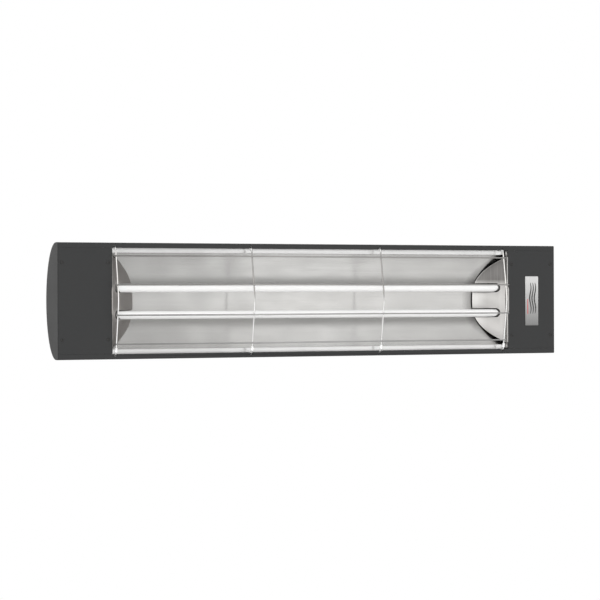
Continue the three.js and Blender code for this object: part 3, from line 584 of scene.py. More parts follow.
def oxidised_coil():
    s = Shader("oxidised_coil")
    patches = s.noise(400.0, 3.0)
    colour = s.blend(patches, (0.10, 0.085, 0.075, 1), (0.26, 0.22, 0.19, 1))
    return s.finish(colour, s.between(patches, 0.4, 0.6), Metallic=0.7)


def steatite():
    """Unglazed ceramic, off-white and faintly speckled."""
    s = Shader("steatite")
    specks = s.noise(2200.0, 2.0)
    body = s.blend(s.noise(120.0, 3.0), (0.72, 0.67, 0.57, 1), (0.82, 0.78, 0.69, 1))
    colour = s.blend(s.between(specks, 0.0, 0.25), body, (0.5, 0.45, 0.38, 1))
    return s.finish(colour, 0.72, s.bump(specks, 0.02 * MM, 0.6))


def braided_sleeve(name, light, dark):
    """Woven glass-fibre sleeve: crossed diagonal yarns."""
    s = Shader(name)
    yarns = s.add("ShaderNodeTexChecker", {"Vector": s.place, "Scale": 1400.0}).outputs["Fac"]
    return s.finish(s.blend(yarns, light, dark), 0.85, s.bump(yarns, 0.08 * MM, 0.7), Sheen_Weight=0.3)


def moulded_nylon():
    s = Shader("moulded_nylon")
    texture = s.noise(1100.0, 3.0)
    colour = s.blend(s.noise(60.0, 2.0), grey(0.014), grey(0.022))
    return s.finish(colour, s.between(texture, 0.42, 0.56), s.bump(texture, 0.03 * MM, 0.5))


def cable_rubber():
    s = Shader("cable_rubber")
    texture = s.noise(700.0, 4.0)
    colour = s.blend(s.noise(35.0, 3.0), grey(0.012), grey(0.024, 0.03))
    grain = s.bump(texture, 0.03 * MM, 0.5)
    return s.finish(colour, s.between(texture, 0.6, 0.75), grain, Sheen_Weight=0.15)


def printed_ink(name, colour):
    """Screen-printed ink, or a core's plain insulation, very slightly uneven."""
    s = Shader(name)
    uneven = s.noise(900.0, 3.0)
    paler = tuple(min(1.0, c * 1.35 + 0.01) for c in colour[:3]) + (1.0,)
    mottled = s.blend(uneven, colour, paler)
    return s.finish(mottled, s.between(uneven, 0.38, 0.5), s.bump(uneven, 0.01 * MM, 0.4))


def copper_strands():
    s = Shader("copper_strands")
    twist = s.streaks(2.0, 2400.0, 2400.0, 500.0)
    colour = s.blend(twist, (0.55, 0.22, 0.11, 1), (0.85, 0.42, 0.24, 1))
    return s.finish(colour, 0.32, s.bump(twist, 0.05 * MM, 0.8), Metallic=1.0)


LOOKS = {
    "black_coat": powder_coat(),
    "black_screw": black_oxide(),
    "brushed_aluminium": brushed_plate(),
    "polished_aluminium": reflector_sheet(),
    # The ribs: painted light below the heater's middle, painted shade above it.
    "bright_wire": stainless_wire("rib_wire", 0.84, 0.40),
    "zinc_steel": zinc_plate(),
    "plated_sheet": galvanised_sheet(),
    "milky_quartz": milky_quartz(),
    "resistance_wire": oxidised_coil(),
    "white_ceramic": steatite(),
    "lead_sleeve": braided_sleeve("glass_sleeve", (0.72, 0.66, 0.53, 1), (0.5, 0.45, 0.35, 1)),
    "earth_sleeve": braided_sleeve("earth_sleeve", (0.14, 0.36, 0.09, 1), (0.05, 0.16, 0.03, 1)),
    "black_plastic": moulded_nylon(),
    "black_rubber": cable_rubber(),
}

# The rails and end ribs are the same wire as the ribs, painted darker and lighter: painted shade and painted
# light.
RAIL_SHADED_LOOK = stainless_wire("rail_wire_painted_shade", 0.44, 0.40)
END_RIB_LIT_LOOK = stainless_wire("end_rib_wire_painted_light", 0.92, 0.92)
CLIP_HIGHLIGHT_LOOK = painted_highlight_clip()
END_PLATE_LOOK = end_plate_sheet()


# ---------- carried-over CAD nodes

ROUNDING = {"black_coat": 0.45, "plated_sheet": 0.25, "white_ceramic": 0.5, "zinc_steel": 0.25}


def dress_cad_nodes():
    """Every CAD node gets its slot's material and smooth curves, and some slots get rounded edges."""
    for entry in frame["record"]["subparts"]:
        obj = frame["nodes"][entry["node"]]
        slot = entry["material_slot"]
        obj.data.materials.clear()
        obj.data.materials.append(LOOKS[slot])
        smooth_by_angle(obj, 32)
        if slot in ROUNDING:
            flatten = obj.modifiers.new("flatten", "DECIMATE")
            flatten.decimate_type = "DISSOLVE"
            flatten.angle_limit = radians(0.4)
            rounding = round_edges(obj, ROUNDING[slot], 40)
            rounding.miter_outer = "MITER_ARC"
            rounding.harden_normals = True


# ---------- reflector


def ripple(x, z):
    """Slow hand-made unevenness of thin sheet, in millimetres."""
    return (
        0.10 * sin(x / 37.0 + z / 29.0)
        + 0.07 * sin(x / 21.3 - z / 17.0 + 1.3)
        + 0.05 * sin(x / 11.7 + z / 41.0 + 2.1)
    )


def trough_line():
    """The trough's section from the top ledge to the bottom one: (depth, height)."""
    heights = [TROUGH_EDGE * (1 - 2 * share) for share in shares(72)]
    parabola = [(TROUGH_FLOOR - z * z / (4 * TROUGH_FOCUS), z) for z in heights]
    fold = 1.2
    top = [
        (LEDGE_DEPTH, LEDGE_END),
        (LEDGE_DEPTH, (LEDGE_END + TROUGH_EDGE) / 2),
        (LEDGE_DEPTH, TROUGH_EDGE + fold),
        (LEDGE_DEPTH + fold * 0.3, TROUGH_EDGE + fold * 0.3),
        (LEDGE_DEPTH + fold, TROUGH_EDGE),
    ]
    return top + parabola + [(depth, -z) for depth, z in reversed(top)]


def offset_line(line, thickness):
    """The line moved sideways, towards the back, by the sheet's thickness."""
    moved = []
    for i, (depth, z) in enumerate(line):
        before = line[max(i - 1, 0)]
        after = line[min(i + 1, len(line) - 1)]
        along = Vector((after[0] - before[0], after[1] - before[1])).normalized()
        moved.append((depth - along.y * thickness, z + along.x * thickness))
    return moved


def reflector_trough():
    low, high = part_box("reflector_trough")
    line = trough_line()
    section = line + offset_line(line, SHEET)[::-1]
    rings = []
    for share in shares(160):
        x = (low.x + (high.x - low.x) * share) / MM
        rings.append([spot(x, depth + ripple(x, z), z) for depth, z in section])
    add_piece("trough_sheet", loft(rings), "heater", "polished_aluminium", "reflector_trough", degrees=30)


def plate_reach(z):
    return PLATE_REACH * (1 - (abs(z) / PLATE_HALF) ** PLATE_POWER)


def slot_outline(middle):
    """A slot's edge from its lower mouth round its closed end: (distance from the opening's end, height)."""
    low, high = middle - SLOT_HALF, middle + SLOT_HALF
    inset = OPENING / MM - SLOT_END + SLOT_RUN
    angles = [pi * (share - 0.5) for share in shares(20)]
    end = [(inset - SLOT_RUN * cos(a), middle + SLOT_HALF * sin(a)) for a in angles]
    return [(plate_reach(low), low)] + end + [(plate_reach(high), high)]


def plate_outline(slots):
    """The leaning plate seen from the front, from its lower fold corner round the deep edge."""
    points = []
    for share in shares(120):
        z = PLATE_HALF * (2 * share - 1)
        around = [slot for slot in slots if abs(z - slot) < SLOT_HALF]
        if not around:
            points.append((plate_reach(z), z))
        elif points[-1][1] < around[0] - SLOT_HALF:
            points += slot_outline(around[0])
    return points


def reflector_end(word, side):
    """A folded plate: cover flange, square rim, leaning plate with two slots, ears and a centre tab."""
    opening = OPENING / MM
    rim = opening - 0.3 - SHEET
    fold = opening - rim
    slots = [centre(f"quartz_tube_{row}").z / MM + 0.5 for row in ("lower", "upper")]
    vertices = []
    for inset, z in plate_outline(slots):
        inset = max(inset, fold)
        vertices.append(spot(side * (opening - inset), RIM_DEPTH + (inset - fold) / PLATE_LEAN, z))
    faces = [tuple(range(len(vertices)))]
    previous = (0, len(vertices) - 1)
    flange = ((rim, 4.0), (rim, 2.3), (rim + 0.25, 1.75), (rim + 0.8, 1.5), (FLANGE_END, 1.5))
    for x, depth in flange:
        start = len(vertices)
        vertices += [spot(side * x, depth, -PLATE_HALF), spot(side * x, depth, PLATE_HALF)]
        faces.append((previous[0], previous[1], start + 1, start))
        previous = (start, start + 1)
    for end in (-1, 1):
        start = len(vertices)
        corners = ((2.3, PLATE_HALF), (2.3, EAR_HALF), (EAR_DEPTH, EAR_HALF), (EAR_DEPTH, PLATE_HALF + 0.3))
        vertices += [spot(side * rim, depth, end * z) for depth, z in corners]
        faces.append(tuple(range(start, start + 4))[::end])
    obj = add_piece(
        f"reflector_end_plate_{word}", (vertices, faces), "heater", "polished_aluminium",
        f"reflector_end_{word}", END_PLATE_LOOK, 20, closed=False,
    )
    thicken(obj, side)
    centre_tab(word, side, rim)


def thicken(obj, side):
    """Gives a one-layer sheet its thickness on the side away from the lamps, with soft edges."""
    layer = obj.modifiers.new("sheet", "SOLIDIFY")
    layer.thickness = SHEET * MM
    layer.offset = -side
    layer.use_even_offset = True
    layer.use_quality_normals = True
    round_edges(obj, 0.15, 50)


def centre_tab(word, side, rim):
    """The tab at the middle of the rim that folds out over the cover's edge, tapered at both ends."""
    half = 28.0
    taper = 9.0
    reach = 1.5
    flush = 0.9
    front = -1.1
    root = 4.0
    rings = []
    for share in shares(24):
        z = half * (2 * share - 1)
        grown = min(1.0, (half - abs(z)) / taper)
        grown = grown * grown * (3 - 2 * grown)
        lift = flush + (front - flush) * grown
        back = lift + SHEET * grown
        tip = rim + SHEET + reach * grown
        section = [
            (rim, root), (rim, lift + 0.5), (rim + 0.2, lift), (tip, lift),
            (tip, back + 0.02), (rim + SHEET, back + 0.04), (rim + SHEET, root),
        ]
        rings.append([spot(side * x, depth, z) for x, depth in section])
    add_piece(
        f"reflector_tab_{word}", loft(rings), "heater", "polished_aluminium", look=END_PLATE_LOOK, degrees=30,
    )


# ---------- heating elements


def quartz_tube(row):
    node = f"quartz_tube_{row}"
    low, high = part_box(node)
    middle = centre(node)
    radius = (high.z - low.z) / 2 / MM
    length = (high.x - low.x) / MM
    inner = radius - 1.2
    soft = 0.4
    profile = [(0, inner), (0, radius - soft), (soft, radius)]
    profile += [(length * share, radius) for share in shares(12)[1:-1]]
    profile += [(length - soft, radius), (length, radius - soft), (length, inner)]
    tube = revolve((low.x, middle.y, middle.z), ALONG, profile, 40, closed=True)
    add_piece(f"quartz_{row}", tube, "heater", "milky_quartz", node, degrees=40)


def heating_coil(row):
    """The resistance wire wound as a helix, with straight tails at both ends."""
    node = f"heating_coil_{row}"
    low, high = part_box(node)
    middle = centre(node)
    wire_radius = 0.45 * MM
    radius = (high.z - low.z) / 2 - wire_radius
    tail = 12 * MM
    span = high.x - low.x - 2 * tail
    loops = 150
    points = [Vector((low.x, middle.y, middle.z))]
    for share in shares(loops * 10):
        angle = 2 * pi * loops * share
        x = low.x + tail + span * share
        points.append(Vector((x, middle.y + radius * cos(angle), middle.z + radius * sin(angle))))
    points.append(Vector((high.x, middle.y, middle.z)))
    add_piece(f"coil_{row}", sweep(points, wire_radius, 5), "heater", "resistance_wire", node, degrees=60)


# ---------- wire guard

GUARD_WIRE = 1.3
GUARD_CENTRE = 1.5
GUARD_RISE = 17.0
CROWN_ROUND = 6.8
FOOT_RISE = 2.6
NOTCH_HEIGHT = 93.5
INNER_RAIL = 26.4
OUTER_RAIL = 76.9
OUTER_RAIL_SHORTER = 2.0
RAIL_NUMBER = 1
END_RIB_NUMBER = 2


def rib_rise(z):
    """How far a rib stands in front of the housing at a height, in millimetres."""
    away = z - GUARD_CENTRE
    foot = NOTCH_HEIGHT - copysign(GUARD_CENTRE, away)

    def drop(distance):
        return hypot(distance, CROWN_ROUND) - CROWN_ROUND

    return GUARD_RISE - (GUARD_RISE - FOOT_RISE) * drop(away) / drop(foot)


def rib_points(x):
    """A rib's centre line, from its upper hook over the crown to its lower end."""
    bend = 3.0
    behind = 6.0
    hook = 2.0

    def turn(depth, z, radius, start, end):
        angles = [radians(start + (end - start) * share) for share in shares(6)]
        return [spot(x, depth + radius * cos(a), z + radius * sin(a)) for a in angles]

    points = [spot(x, behind, NOTCH_HEIGHT + 4.5)]
    points += turn(behind - hook, NOTCH_HEIGHT + hook, hook, 0, -90)
    points += turn(bend - FOOT_RISE, NOTCH_HEIGHT - bend, bend, 90, 180)
    top = NOTCH_HEIGHT - bend - 1
    heights = [top * (1 - 2 * share) for share in shares(40)]
    points += [spot(x, -rib_rise(z), z) for z in heights]
    points += turn(bend - FOOT_RISE, bend - NOTCH_HEIGHT, bend, 180, 270)
    points.append(spot(x, behind, -NOTCH_HEIGHT))
    return points


def guard_rail(parts, z, trim):
    """A rail across the fronts of the ribs, with a spot weld bead at each crossing."""
    low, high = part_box("wire_guard")
    middle = (low.x + high.x) / 2 / MM
    half = (high.x - low.x) / 2 / MM - trim
    rise = rib_rise(z) + 1.8 * GUARD_WIRE
    points = []
    for share in shares(48):
        side = 2 * share - 1
        bow = 0.25 * sin(side * 4.1 + z) * (1 - side ** 2)
        points.append(spot(middle + half * side, -rise, z + bow))
    parts.add(sweep(points, GUARD_WIRE * MM, 14), RAIL_NUMBER)
    bead = [(-0.9, 0.3), (-0.6, 1.2), (0, 1.65), (0.6, 1.2), (0.9, 0.3)]
    for place in RIB_PLACES:
        weld = spot(place / MM, -rib_rise(z) - 0.9 * GUARD_WIRE, z)
        parts.add(revolve(weld, BACKWARDS, bead, 14), RAIL_NUMBER)


def wire_guard():
    parts = Parts()
    for place in RIB_PLACES:
        number = END_RIB_NUMBER if place in (RIB_PLACES[0], RIB_PLACES[-1]) else 0
        parts.add(sweep(rib_points(place / MM), GUARD_WIRE * MM, 14), number)
    for end in (-1, 1):
        guard_rail(parts, GUARD_CENTRE + end * INNER_RAIL, 0.0)
        guard_rail(parts, GUARD_CENTRE + end * OUTER_RAIL, OUTER_RAIL_SHORTER)
    parts.piece("guard_wires", "guard", "bright_wire", "wire_guard", RAIL_SHADED_LOOK, END_RIB_LIT_LOOK, degrees=50)


def guard_clip(number, node):
    """A sprung sleeve on a rib's lower end, with rolled ends."""
    low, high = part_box(node)
    x = centre(node).x / MM
    bottom, top = low.z / MM + 0.5, high.z / MM - 0.5
    start = spot(x, -rib_rise(bottom), bottom)
    along = spot(x, -rib_rise(top), top) - start
    length = along.length / MM
    outer = 2.5
    inner = 1.65
    profile = [
        (0, inner + 0.15), (0, outer - 0.25), (0.25, outer), (0.9, outer), (1.2, outer - 0.18),
        (length - 1.2, outer - 0.18), (length - 0.9, outer), (length - 0.25, outer),
        (length, outer - 0.25), (length, inner + 0.15), (length - 0.4, inner), (0.4, inner),
    ]
    sleeve = revolve(start, along, profile, 28, closed=True)
    add_piece(f"clip_{number}", sleeve, "guard", "bright_wire", node, CLIP_HIGHLIGHT_LOOK, 40)


# ---------- nameplate

INK_RAISED = 0.07
DARK_NUMBER = 1
RED_NUMBER = 2


def rounded_rectangle(low_x, high_x, low_z, high_z, radius):
    corners = [
        (high_x - radius, low_z + radius, -90), (high_x - radius, high_z - radius, 0),
        (low_x + radius, high_z - radius, 90), (low_x + radius, low_z + radius, 180),
    ]
    points = []
    for x, z, start in corners:
        for share in shares(6):
            angle = radians(start + 90 * share)
            points.append((x + radius * cos(angle), z + radius * sin(angle)))
    return points


def nameplate():
    """A brushed plate with a raised rim and a printed heat sign: three wavy lines and a red bar."""
    low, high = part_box("nameplate")
    left, right = low.x / MM, high.x / MM
    bottom, top = low.z / MM, high.z / MM
    front = (low.y - FRONT) / MM
    back = (high.y - FRONT) / MM

    def ring(inset, depth):
        round_by = max(1.5 - inset, 0.3)
        outline = rounded_rectangle(left + inset, right - inset, bottom + inset, top - inset, round_by)
        return [spot(x, depth, z) for x, z in outline]

    face = front + 0.3
    steps = ((0.0, back), (0.0, front + 0.2), (0.2, front), (0.9, front), (1.15, front + 0.28), (1.4, face))
    parts = Parts()
    parts.add(loft([ring(inset, depth) for inset, depth in steps]))
    middle = (left + right) / 2 + 2.0
    foot = -27.0
    for i in (-1, 0, 1):
        wave(parts, middle + 5.0 * i, foot, 32.0, face)
    bar = [ink_section(left + 5.3, 0.7, face, z) for z in (foot, 1.0)]
    parts.add(loft(bar), RED_NUMBER)
    inks = (printed_ink("dark_ink", grey(0.022)), printed_ink("red_ink", (0.42, 0.03, 0.035, 1.0)))
    parts.piece("nameplate_badge", "heater", "brushed_aluminium", "nameplate", *inks, degrees=25)


def ink_section(x, half_width, face, z):
    """Four corners of a line of ink at a height, from just inside the plate's face to just proud of it."""
    inside, proud = face + 0.05, face - INK_RAISED
    corners = ((-1, inside), (-1, proud), (1, proud), (1, inside))
    return [spot(x + end * half_width, depth, z) for end, depth in corners]


def wave(parts, x, bottom, top, face):
    """One wavy upright line of ink, pointed at both ends."""
    rings = []
    for share in shares(60):
        half_width = 1.3 * sin(pi * share) ** 0.35 + 0.05
        middle = x + 1.5 * sin(2 * pi * 1.5 * share)
        rings.append(ink_section(middle, half_width, face, bottom + (top - bottom) * share))
    parts.add(loft(rings), DARK_NUMBER)


# ---------- fasteners


def cover_screw(node):
    """A low black pan head with a tapered cross recess, seated just in front of the cover."""
    middle = centre(node)
    turn = radians(20 + 40 * sin(middle.x * 31 + middle.z * 57))
    head_radius = 3.0
    head_height = 1.2
    arm_half_width = 0.4
    arm_length = 1.8
    recess_depth = 0.8
    recess_taper = 0.16
    seat = 0.3
    tip = 0.02

    def rise(radius, angle):
        dome = head_height * sqrt(max(1 - (radius / head_radius) ** 2.6, 0))
        along = abs(radius * cos(angle - turn))
        across = abs(radius * sin(angle - turn))
        outside = min(
            max(across - arm_half_width, along - arm_length),
            max(along - arm_half_width, across - arm_length),
        )
        return dome - recess_depth * min(max(0.5 - outside / recess_taper, 0), 1)

    def at(radius, angle, depth):
        return spot(middle.x / MM + radius * cos(angle), depth, middle.z / MM + radius * sin(angle))

    angles = turns(72)
    rings = [[at(head_radius + tip, angle, -0.05) for angle in angles]]
    for share in shares(16):
        radius = head_radius * (1 - share)
        rings.append([at(radius + tip, a, -seat - rise(min(radius + tip, head_radius), a)) for a in angles])
    add_piece(f"{node}_head", loft(rings), "heater", "black_screw", node, degrees=40)


def thread(origin, direction, start, end, radius, pitch=1.0):
    """A shank with rolled thread: a turned profile with one small ridge for each pitch."""
    profile = [(start, radius * 0.85)]
    place = start
    while place < end - pitch:
        profile += [(place + pitch * 0.25, radius), (place + pitch * 0.75, radius * 0.88)]
        place += pitch
    profile += [(end - 0.6, radius * 0.95), (end, radius * 0.7)]
    return revolve(origin, direction, profile, 28)


PIVOT_RADIUS = 4.0
PIVOT_ACROSS_CORNERS = 15.0
WASHER_EDGE = [(0, 8.2), (0.2, 8.5), (1.4, 8.5), (1.6, 8.2)]


def pivot_bolt(word):
    """The bolt that a bracket's four ears turn on: head and washer left, thread and nut right."""
    node = f"pivot_bolt_{word}"
    low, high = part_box(node)
    nut_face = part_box(f"pivot_nut_{word}")[0].x / MM
    origin = Vector((0, centre(node).y, centre(node).z))
    head_face = low.x / MM
    washer_place = origin + ALONG * (head_face + 5.2) * MM
    parts = Parts()
    parts.add(revolve(washer_place, ALONG, WASHER_EDGE, 40))
    parts.add(hexagon(origin, -ALONG, PIVOT_ACROSS_CORNERS, -head_face - 5.3, -head_face, 1.0))
    parts.add(revolve(origin, ALONG, [(head_face + 5.0, PIVOT_RADIUS), (nut_face, PIVOT_RADIUS)], 28))
    parts.add(thread(origin, ALONG, nut_face - 0.5, high.x / MM, PIVOT_RADIUS, 1.25))
    parts.piece(f"bolt_{word}", "wall_mount", "zinc_steel", node, degrees=28)
    pivot_nut(word, origin, nut_face)


def pivot_nut(word, origin, face):
    bore = PIVOT_RADIUS + 0.3
    washer = [(0, bore)] + WASHER_EDGE + [(1.6, bore)]
    parts = Parts()
    parts.add(revolve(origin + ALONG * face * MM, ALONG, washer, 40, closed=True))
    parts.add(hexagon(origin, ALONG, PIVOT_ACROSS_CORNERS, face + 1.5, face + 8.2, 1.0, bore))
    parts.piece(f"nut_{word}", "wall_mount", "zinc_steel", f"pivot_nut_{word}", degrees=28)


def back_surface(z):
    """The depth of the housing's curved back at a height, in millimetres, and the way it faces there."""
    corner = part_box("housing_shell")[1]
    half = corner.z / MM
    side = 8.0
    bulge = (corner.y - FRONT) / MM - side
    angle = asin(z / half)
    outward = Vector((0, cos(angle) / bulge, sin(angle) / half)).normalized()
    return side + bulge * cos(angle), outward


def hanger_screw(word, row):
    """A flanged hexagon screw that holds a hanger bracket to the housing's back."""
    node = f"hanger_screw_{word}_{row}"
    z = 34.0 if row == "upper" else -34.0
    depth, outward = back_surface(z)
    origin = spot(centre(node).x / MM, depth, z)
    base = 3.1
    parts = Parts()
    collar = [(base, 6.3), (base + 0.3, 6.5), (base + 1.0, 6.3), (base + 1.3, 5.6)]
    parts.add(revolve(origin, outward, collar, 40))
    parts.add(hexagon(origin, outward, 11.6, base + 1.0, base + 5.0, 0.8))
    parts.add(thread(origin, -outward, -base - 0.5, 7.0, 3.0))
    parts.piece(f"{node}_bolt", "heater", "zinc_steel", node, degrees=28)


# ---------- cable entry

GLAND_BORE = 4.6
GLAND_BASE = 61.3


def gland_body_profile(start):
    """Threaded stem, shoulder and domed nut, then back along the bore: (distance, radius)."""
    stem = [(start, GLAND_BORE), (start, 7.6), (start + 0.5, 8.0)]
    place = start + 0.5
    while place < GLAND_BASE - 0.6:
        stem += [(place + 0.4, 8.0), (place + 0.9, 7.4)]
        place += 1.4
    shoulder = [(GLAND_BASE, 8.0), (GLAND_BASE + 0.3, 10.4), (GLAND_BASE + 13.2, 10.4)]
    angles = [pi / 2 * share for share in shares(10)]
    dome = [(GLAND_BASE + 13 + 8.8 * sin(a), 6.2 + 4.2 * cos(a)) for a in angles]
    return stem + shoulder + dome + [(GLAND_BASE + 21.8, GLAND_BORE)]


def cable_gland():
    """A nylon gland: threaded stem inside, hexagon flange, then a ribbed dome nut."""
    start = (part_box("cable_gland")[0].y - FRONT) / MM
    origin = spot(centre("cable_gland").x / MM, 0, 0)
    parts = Parts()
    parts.add(revolve(origin, BACKWARDS, gland_body_profile(start), 48, closed=True))
    parts.add(hexagon(origin, BACKWARDS, 25.4, GLAND_BASE, GLAND_BASE + 4.8, 0.6, 9.5))
    parts.add(hexagon(origin, BACKWARDS, 25.0, GLAND_BASE + 6, GLAND_BASE + 13, 1.0, 9.5))
    for angle in turns(18):
        outward = Vector((cos(angle), 0, sin(angle)))
        foot = origin + (outward * 9.4 + BACKWARDS * (GLAND_BASE + 13.0)) * MM
        tip = origin + (outward * 8.2 + BACKWARDS * (GLAND_BASE + 18.5)) * MM
        parts.add(sweep([foot, (foot + tip) / 2 + outward * 0.5 * MM, tip], 0.7 * MM, 8))
    parts.piece("gland_body", "heater", "black_plastic", "cable_gland", degrees=30)


def supply_cable():
    """The cable's jacket along its bend, cut square, with three stripped cores at the free end."""
    x = centre("cable_gland").x / MM
    route = [(44, 0), (62, 0), (80, 0), (92, 0), (103, -6), (110, -18), (112, -36), (112, -62)]
    parts = Parts()
    parts.add(sweep(smooth_curve([spot(x, depth, z) for depth, z in route], 8), 4.1 * MM, 28))
    cores = [
        printed_ink("core_brown", (0.12, 0.045, 0.02, 1.0)),
        printed_ink("core_blue", (0.02, 0.07, 0.28, 1.0)),
        printed_ink("core_green", (0.10, 0.26, 0.03, 1.0)),
    ]
    for i, angle in enumerate(turns(3), 1):
        aside, back = 1.9 * cos(angle + 0.5), 1.9 * sin(angle + 0.5)
        top = spot(x + aside, 112 + back, -61)
        end = spot(x + aside * 1.25, 112 + back * 1.1, -70)
        tip = end - UPWARDS * 2.2 * MM
        parts.add(sweep(smooth_curve([top, (top + end) / 2, end], 4), 1.25 * MM, 14), i)
        parts.add(sweep([end, (end + tip) / 2, tip], 0.75 * MM, 10), len(cores) + 1)
    parts.piece("cable_tail", "heater", "black_rubber", "supply_cable", *cores, copper_strands())


# ---------- stage, light and camera

CAMERA_X = -1753.6
CAMERA_DEPTH = -3735.0
CAMERA_HEIGHT = 0.6
CAMERA_YAW = radians(24.694)
CAMERA_ROLL = radians(-0.195)
CAMERA_LENS = 136.74


def stage_floor():
    """A pale round floor well below the heater that fades into the white surround."""
    radius = 3.2
    middle = Vector((0, 0, cad_box[0].z - 1.05))
    vertices = ring_around(middle, ALONG, BACKWARDS, radius, 64)
    mesh = bpy.data.meshes.new("floor")
    mesh.from_pydata(vertices, [], [tuple(range(len(vertices)))])
    mesh.materials.append(floor_material(radius))
    obj = new_object("floor", mesh)
    obj.visible_glossy = False


def floor_material(radius):
    s = Shader("pale_floor")
    distance = s.vector_math("LENGTH", s.stretched(1, 1, 0))
    faded = s.ramp(distance, radius * 0.35, radius * 0.97, 0.0, 1.0)
    colour = s.blend(s.noise(5.0, 2.0), grey(0.80, 0.01), grey(0.84, 0.01))
    matt = s.add("ShaderNodeBsdfDiffuse", {"Color": colour}).outputs[0]
    clear = s.add("ShaderNodeBsdfTransparent").outputs[0]
    mixed = s.add("ShaderNodeMixShader", {0: faded, 1: matt, 2: clear})
    s.add("ShaderNodeOutputMaterial", {"Surface": mixed.outputs[0]})
    return s.material


def mirrored_sideways(x):
    """The sideways part of the camera's view once the reflector has mirrored it at x millimetres."""
    return (x - CAMERA_X) / hypot(x - CAMERA_X, CAMERA_DEPTH)


# The bright panel's edges are mirrored 184 mm left of the heater's middle and 60 mm right of it.
PANEL_LEFT = mirrored_sideways(-184)
PANEL_RIGHT = mirrored_sideways(60)


def studio_room(room, forward, height):
    """The brightness that reflections see: white wall in front, dim sides, paler again behind."""
    around = room.levels(
        forward,
        (-1.0, 1.0), (-0.56, 0.96), (-0.38, 0.34), (-0.2, 0.07), (0.2, 0.08), (0.5, 0.36), (1.0, 0.5),
    )
    upright = room.levels(
        height, (-1.0, 0.87), (-0.45, 0.9), (-0.08, 1.0), (0.08, 1.0), (0.45, 0.9), (1.0, 0.85),
    )
    return room.math("ADD", room.math("MULTIPLY", around, upright), panel_behind(room, forward, height))


def panel_behind(room, forward, height):
    """A bright panel high up behind the heater, which its curved back mirrors as a soft band."""
    behind = room.levels(forward, (-1.0, 0.0), (0.24, 0.0), (0.44, 1.0), (1.0, 1.0))
    high = room.levels(height, (-1.0, 0.0), (0.20, 0.0), (0.32, 1.8), (0.60, 1.8), (0.72, 0.0), (1.0, 0.0))
    return room.math("MULTIPLY", behind, high)


def panel_steps(room, sideways, left, middle, right):
    """A bright panel in the front wall, the wall left and right of it, and paler ends of the room."""
    soft = 0.004
    return room.levels(
        sideways,
        (-1.0, 5.0), (-0.95, 5.0), (-0.85, 1.0), (0.15, 1.0), (0.32, left),
        (PANEL_LEFT - soft, left), (PANEL_LEFT + soft, middle),
        (PANEL_RIGHT - soft, middle), (PANEL_RIGHT + soft, right), (0.9, right), (0.96, 2.4), (1.0, 2.4),
    )


def front_wall(room, sideways, height):
    """The panel with its wall: evenly lit at the heater's height, with more contrast above and below."""
    level_part = panel_steps(room, sideways, 0.57, 0.98, 0.72)
    other_part = panel_steps(room, sideways, 0.45, 1.04, 0.72)
    away = room.levels(height, (-1.0, 1), (-0.20, 1), (-0.08, 0), (0.08, 0), (0.20, 1), (1.0, 1))
    return room.blend(away, level_part, other_part)


def white_surround():
    """The camera sees plain white; reflections see a soft studio room."""
    world = bpy.data.worlds.new("studio")
    bpy.context.scene.world = world
    room = Nodes(world)
    direction = room.add("ShaderNodeTexCoord").outputs["Generated"]
    sideways, _, height = room.split(direction)
    level_direction = room.vector_math("NORMALIZE", room.vector_math("MULTIPLY", direction, (1, 1, 0)))
    forward = room.split(level_direction)["Y"]
    walls = studio_room(room, forward, height)
    level = room.math("MULTIPLY", walls, front_wall(room, sideways, height))
    brightness = room.math("MULTIPLY", level, 1.42)
    studio = room.add("ShaderNodeBackground", {"Color": (1.0, 0.995, 0.985, 1), "Strength": brightness})
    white = room.add("ShaderNodeBackground", {"Color": (1, 1, 1, 1)})
    seen = room.add("ShaderNodeLightPath").outputs["Is Camera Ray"]
    mixed = room.add("ShaderNodeMixShader", {0: seen, 1: studio.outputs[0], 2: white.outputs[0]})
    room.add("ShaderNodeOutputWorld", {"Surface": mixed.outputs[0]})


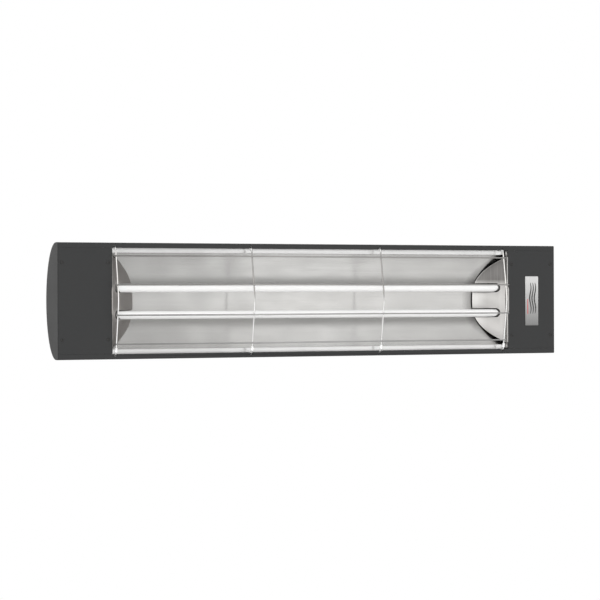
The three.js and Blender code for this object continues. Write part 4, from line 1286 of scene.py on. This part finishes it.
def softbox(name, place, target, width, height, power, colour=(1, 1, 1)):
    """A large soft light that matt surfaces feel but that doesn't show in reflections."""
    light = bpy.data.lights.new(name, "AREA")
    light.shape = "RECTANGLE"
    light.size = width
    light.size_y = height
    light.energy = power
    light.color = colour
    obj = new_object(name, light)
    obj.location = place
    obj.rotation_mode = "QUATERNION"
    obj.rotation_quaternion = (Vector(target) - Vector(place)).to_track_quat("-Z", "Y")
    obj.visible_camera = False
    obj.visible_glossy = False


def studio_lights():
    softbox("key", (-0.6, -2.6, 1.7), (0, 0, 0), 2.4, 1.2, 26)
    softbox("fill", (1.9, -2.4, 0.2), (0.2, 0, 0), 1.2, 1.6, 12, (1.0, 0.97, 0.94))
    softbox("rim", (0.4, 2.4, 2.2), (0, 0, 0), 2.4, 1.4, 30)


def camera():
    """Level with the heater, in front of it and to its left, a long lens four metres away."""
    forward = Vector((sin(CAMERA_YAW), cos(CAMERA_YAW), 0))
    right = Vector((cos(CAMERA_YAW), -sin(CAMERA_YAW), 0))
    tilted_right = right * cos(CAMERA_ROLL) + UPWARDS * sin(CAMERA_ROLL)
    tilted_up = UPWARDS * cos(CAMERA_ROLL) - right * sin(CAMERA_ROLL)
    data = bpy.data.cameras.new("camera")
    data.sensor_width = 36.0
    data.lens = CAMERA_LENS
    obj = new_object("camera", data)
    turn = Matrix((tilted_right, tilted_up, -forward)).transposed()
    place = spot(CAMERA_X, CAMERA_DEPTH, CAMERA_HEIGHT)
    obj.matrix_world = Matrix.Translation(place) @ turn.to_4x4()
    bpy.context.scene.camera = obj


def view_colours():
    """Plain display colours, so that the white surround stays white."""
    bpy.context.scene.view_settings.view_transform = "Standard"


# ---------- build

dress_cad_nodes()
reflector_trough()
for word, side in SIDES.items():
    reflector_end(word, side)
for row in ROWS:
    quartz_tube(row)
    heating_coil(row)
wire_guard()
for number, clip in enumerate(CLIPS, 1):
    guard_clip(number, clip)
nameplate()
for node in [n for n in frame["nodes"] if n.startswith("cover_screw_")]:
    cover_screw(node)
for word in SIDES:
    pivot_bolt(word)
    for row in ROWS:
        hanger_screw(word, row)
cable_gland()
supply_cable()

stage_floor()
white_surround()
studio_lights()
camera()
view_colours()
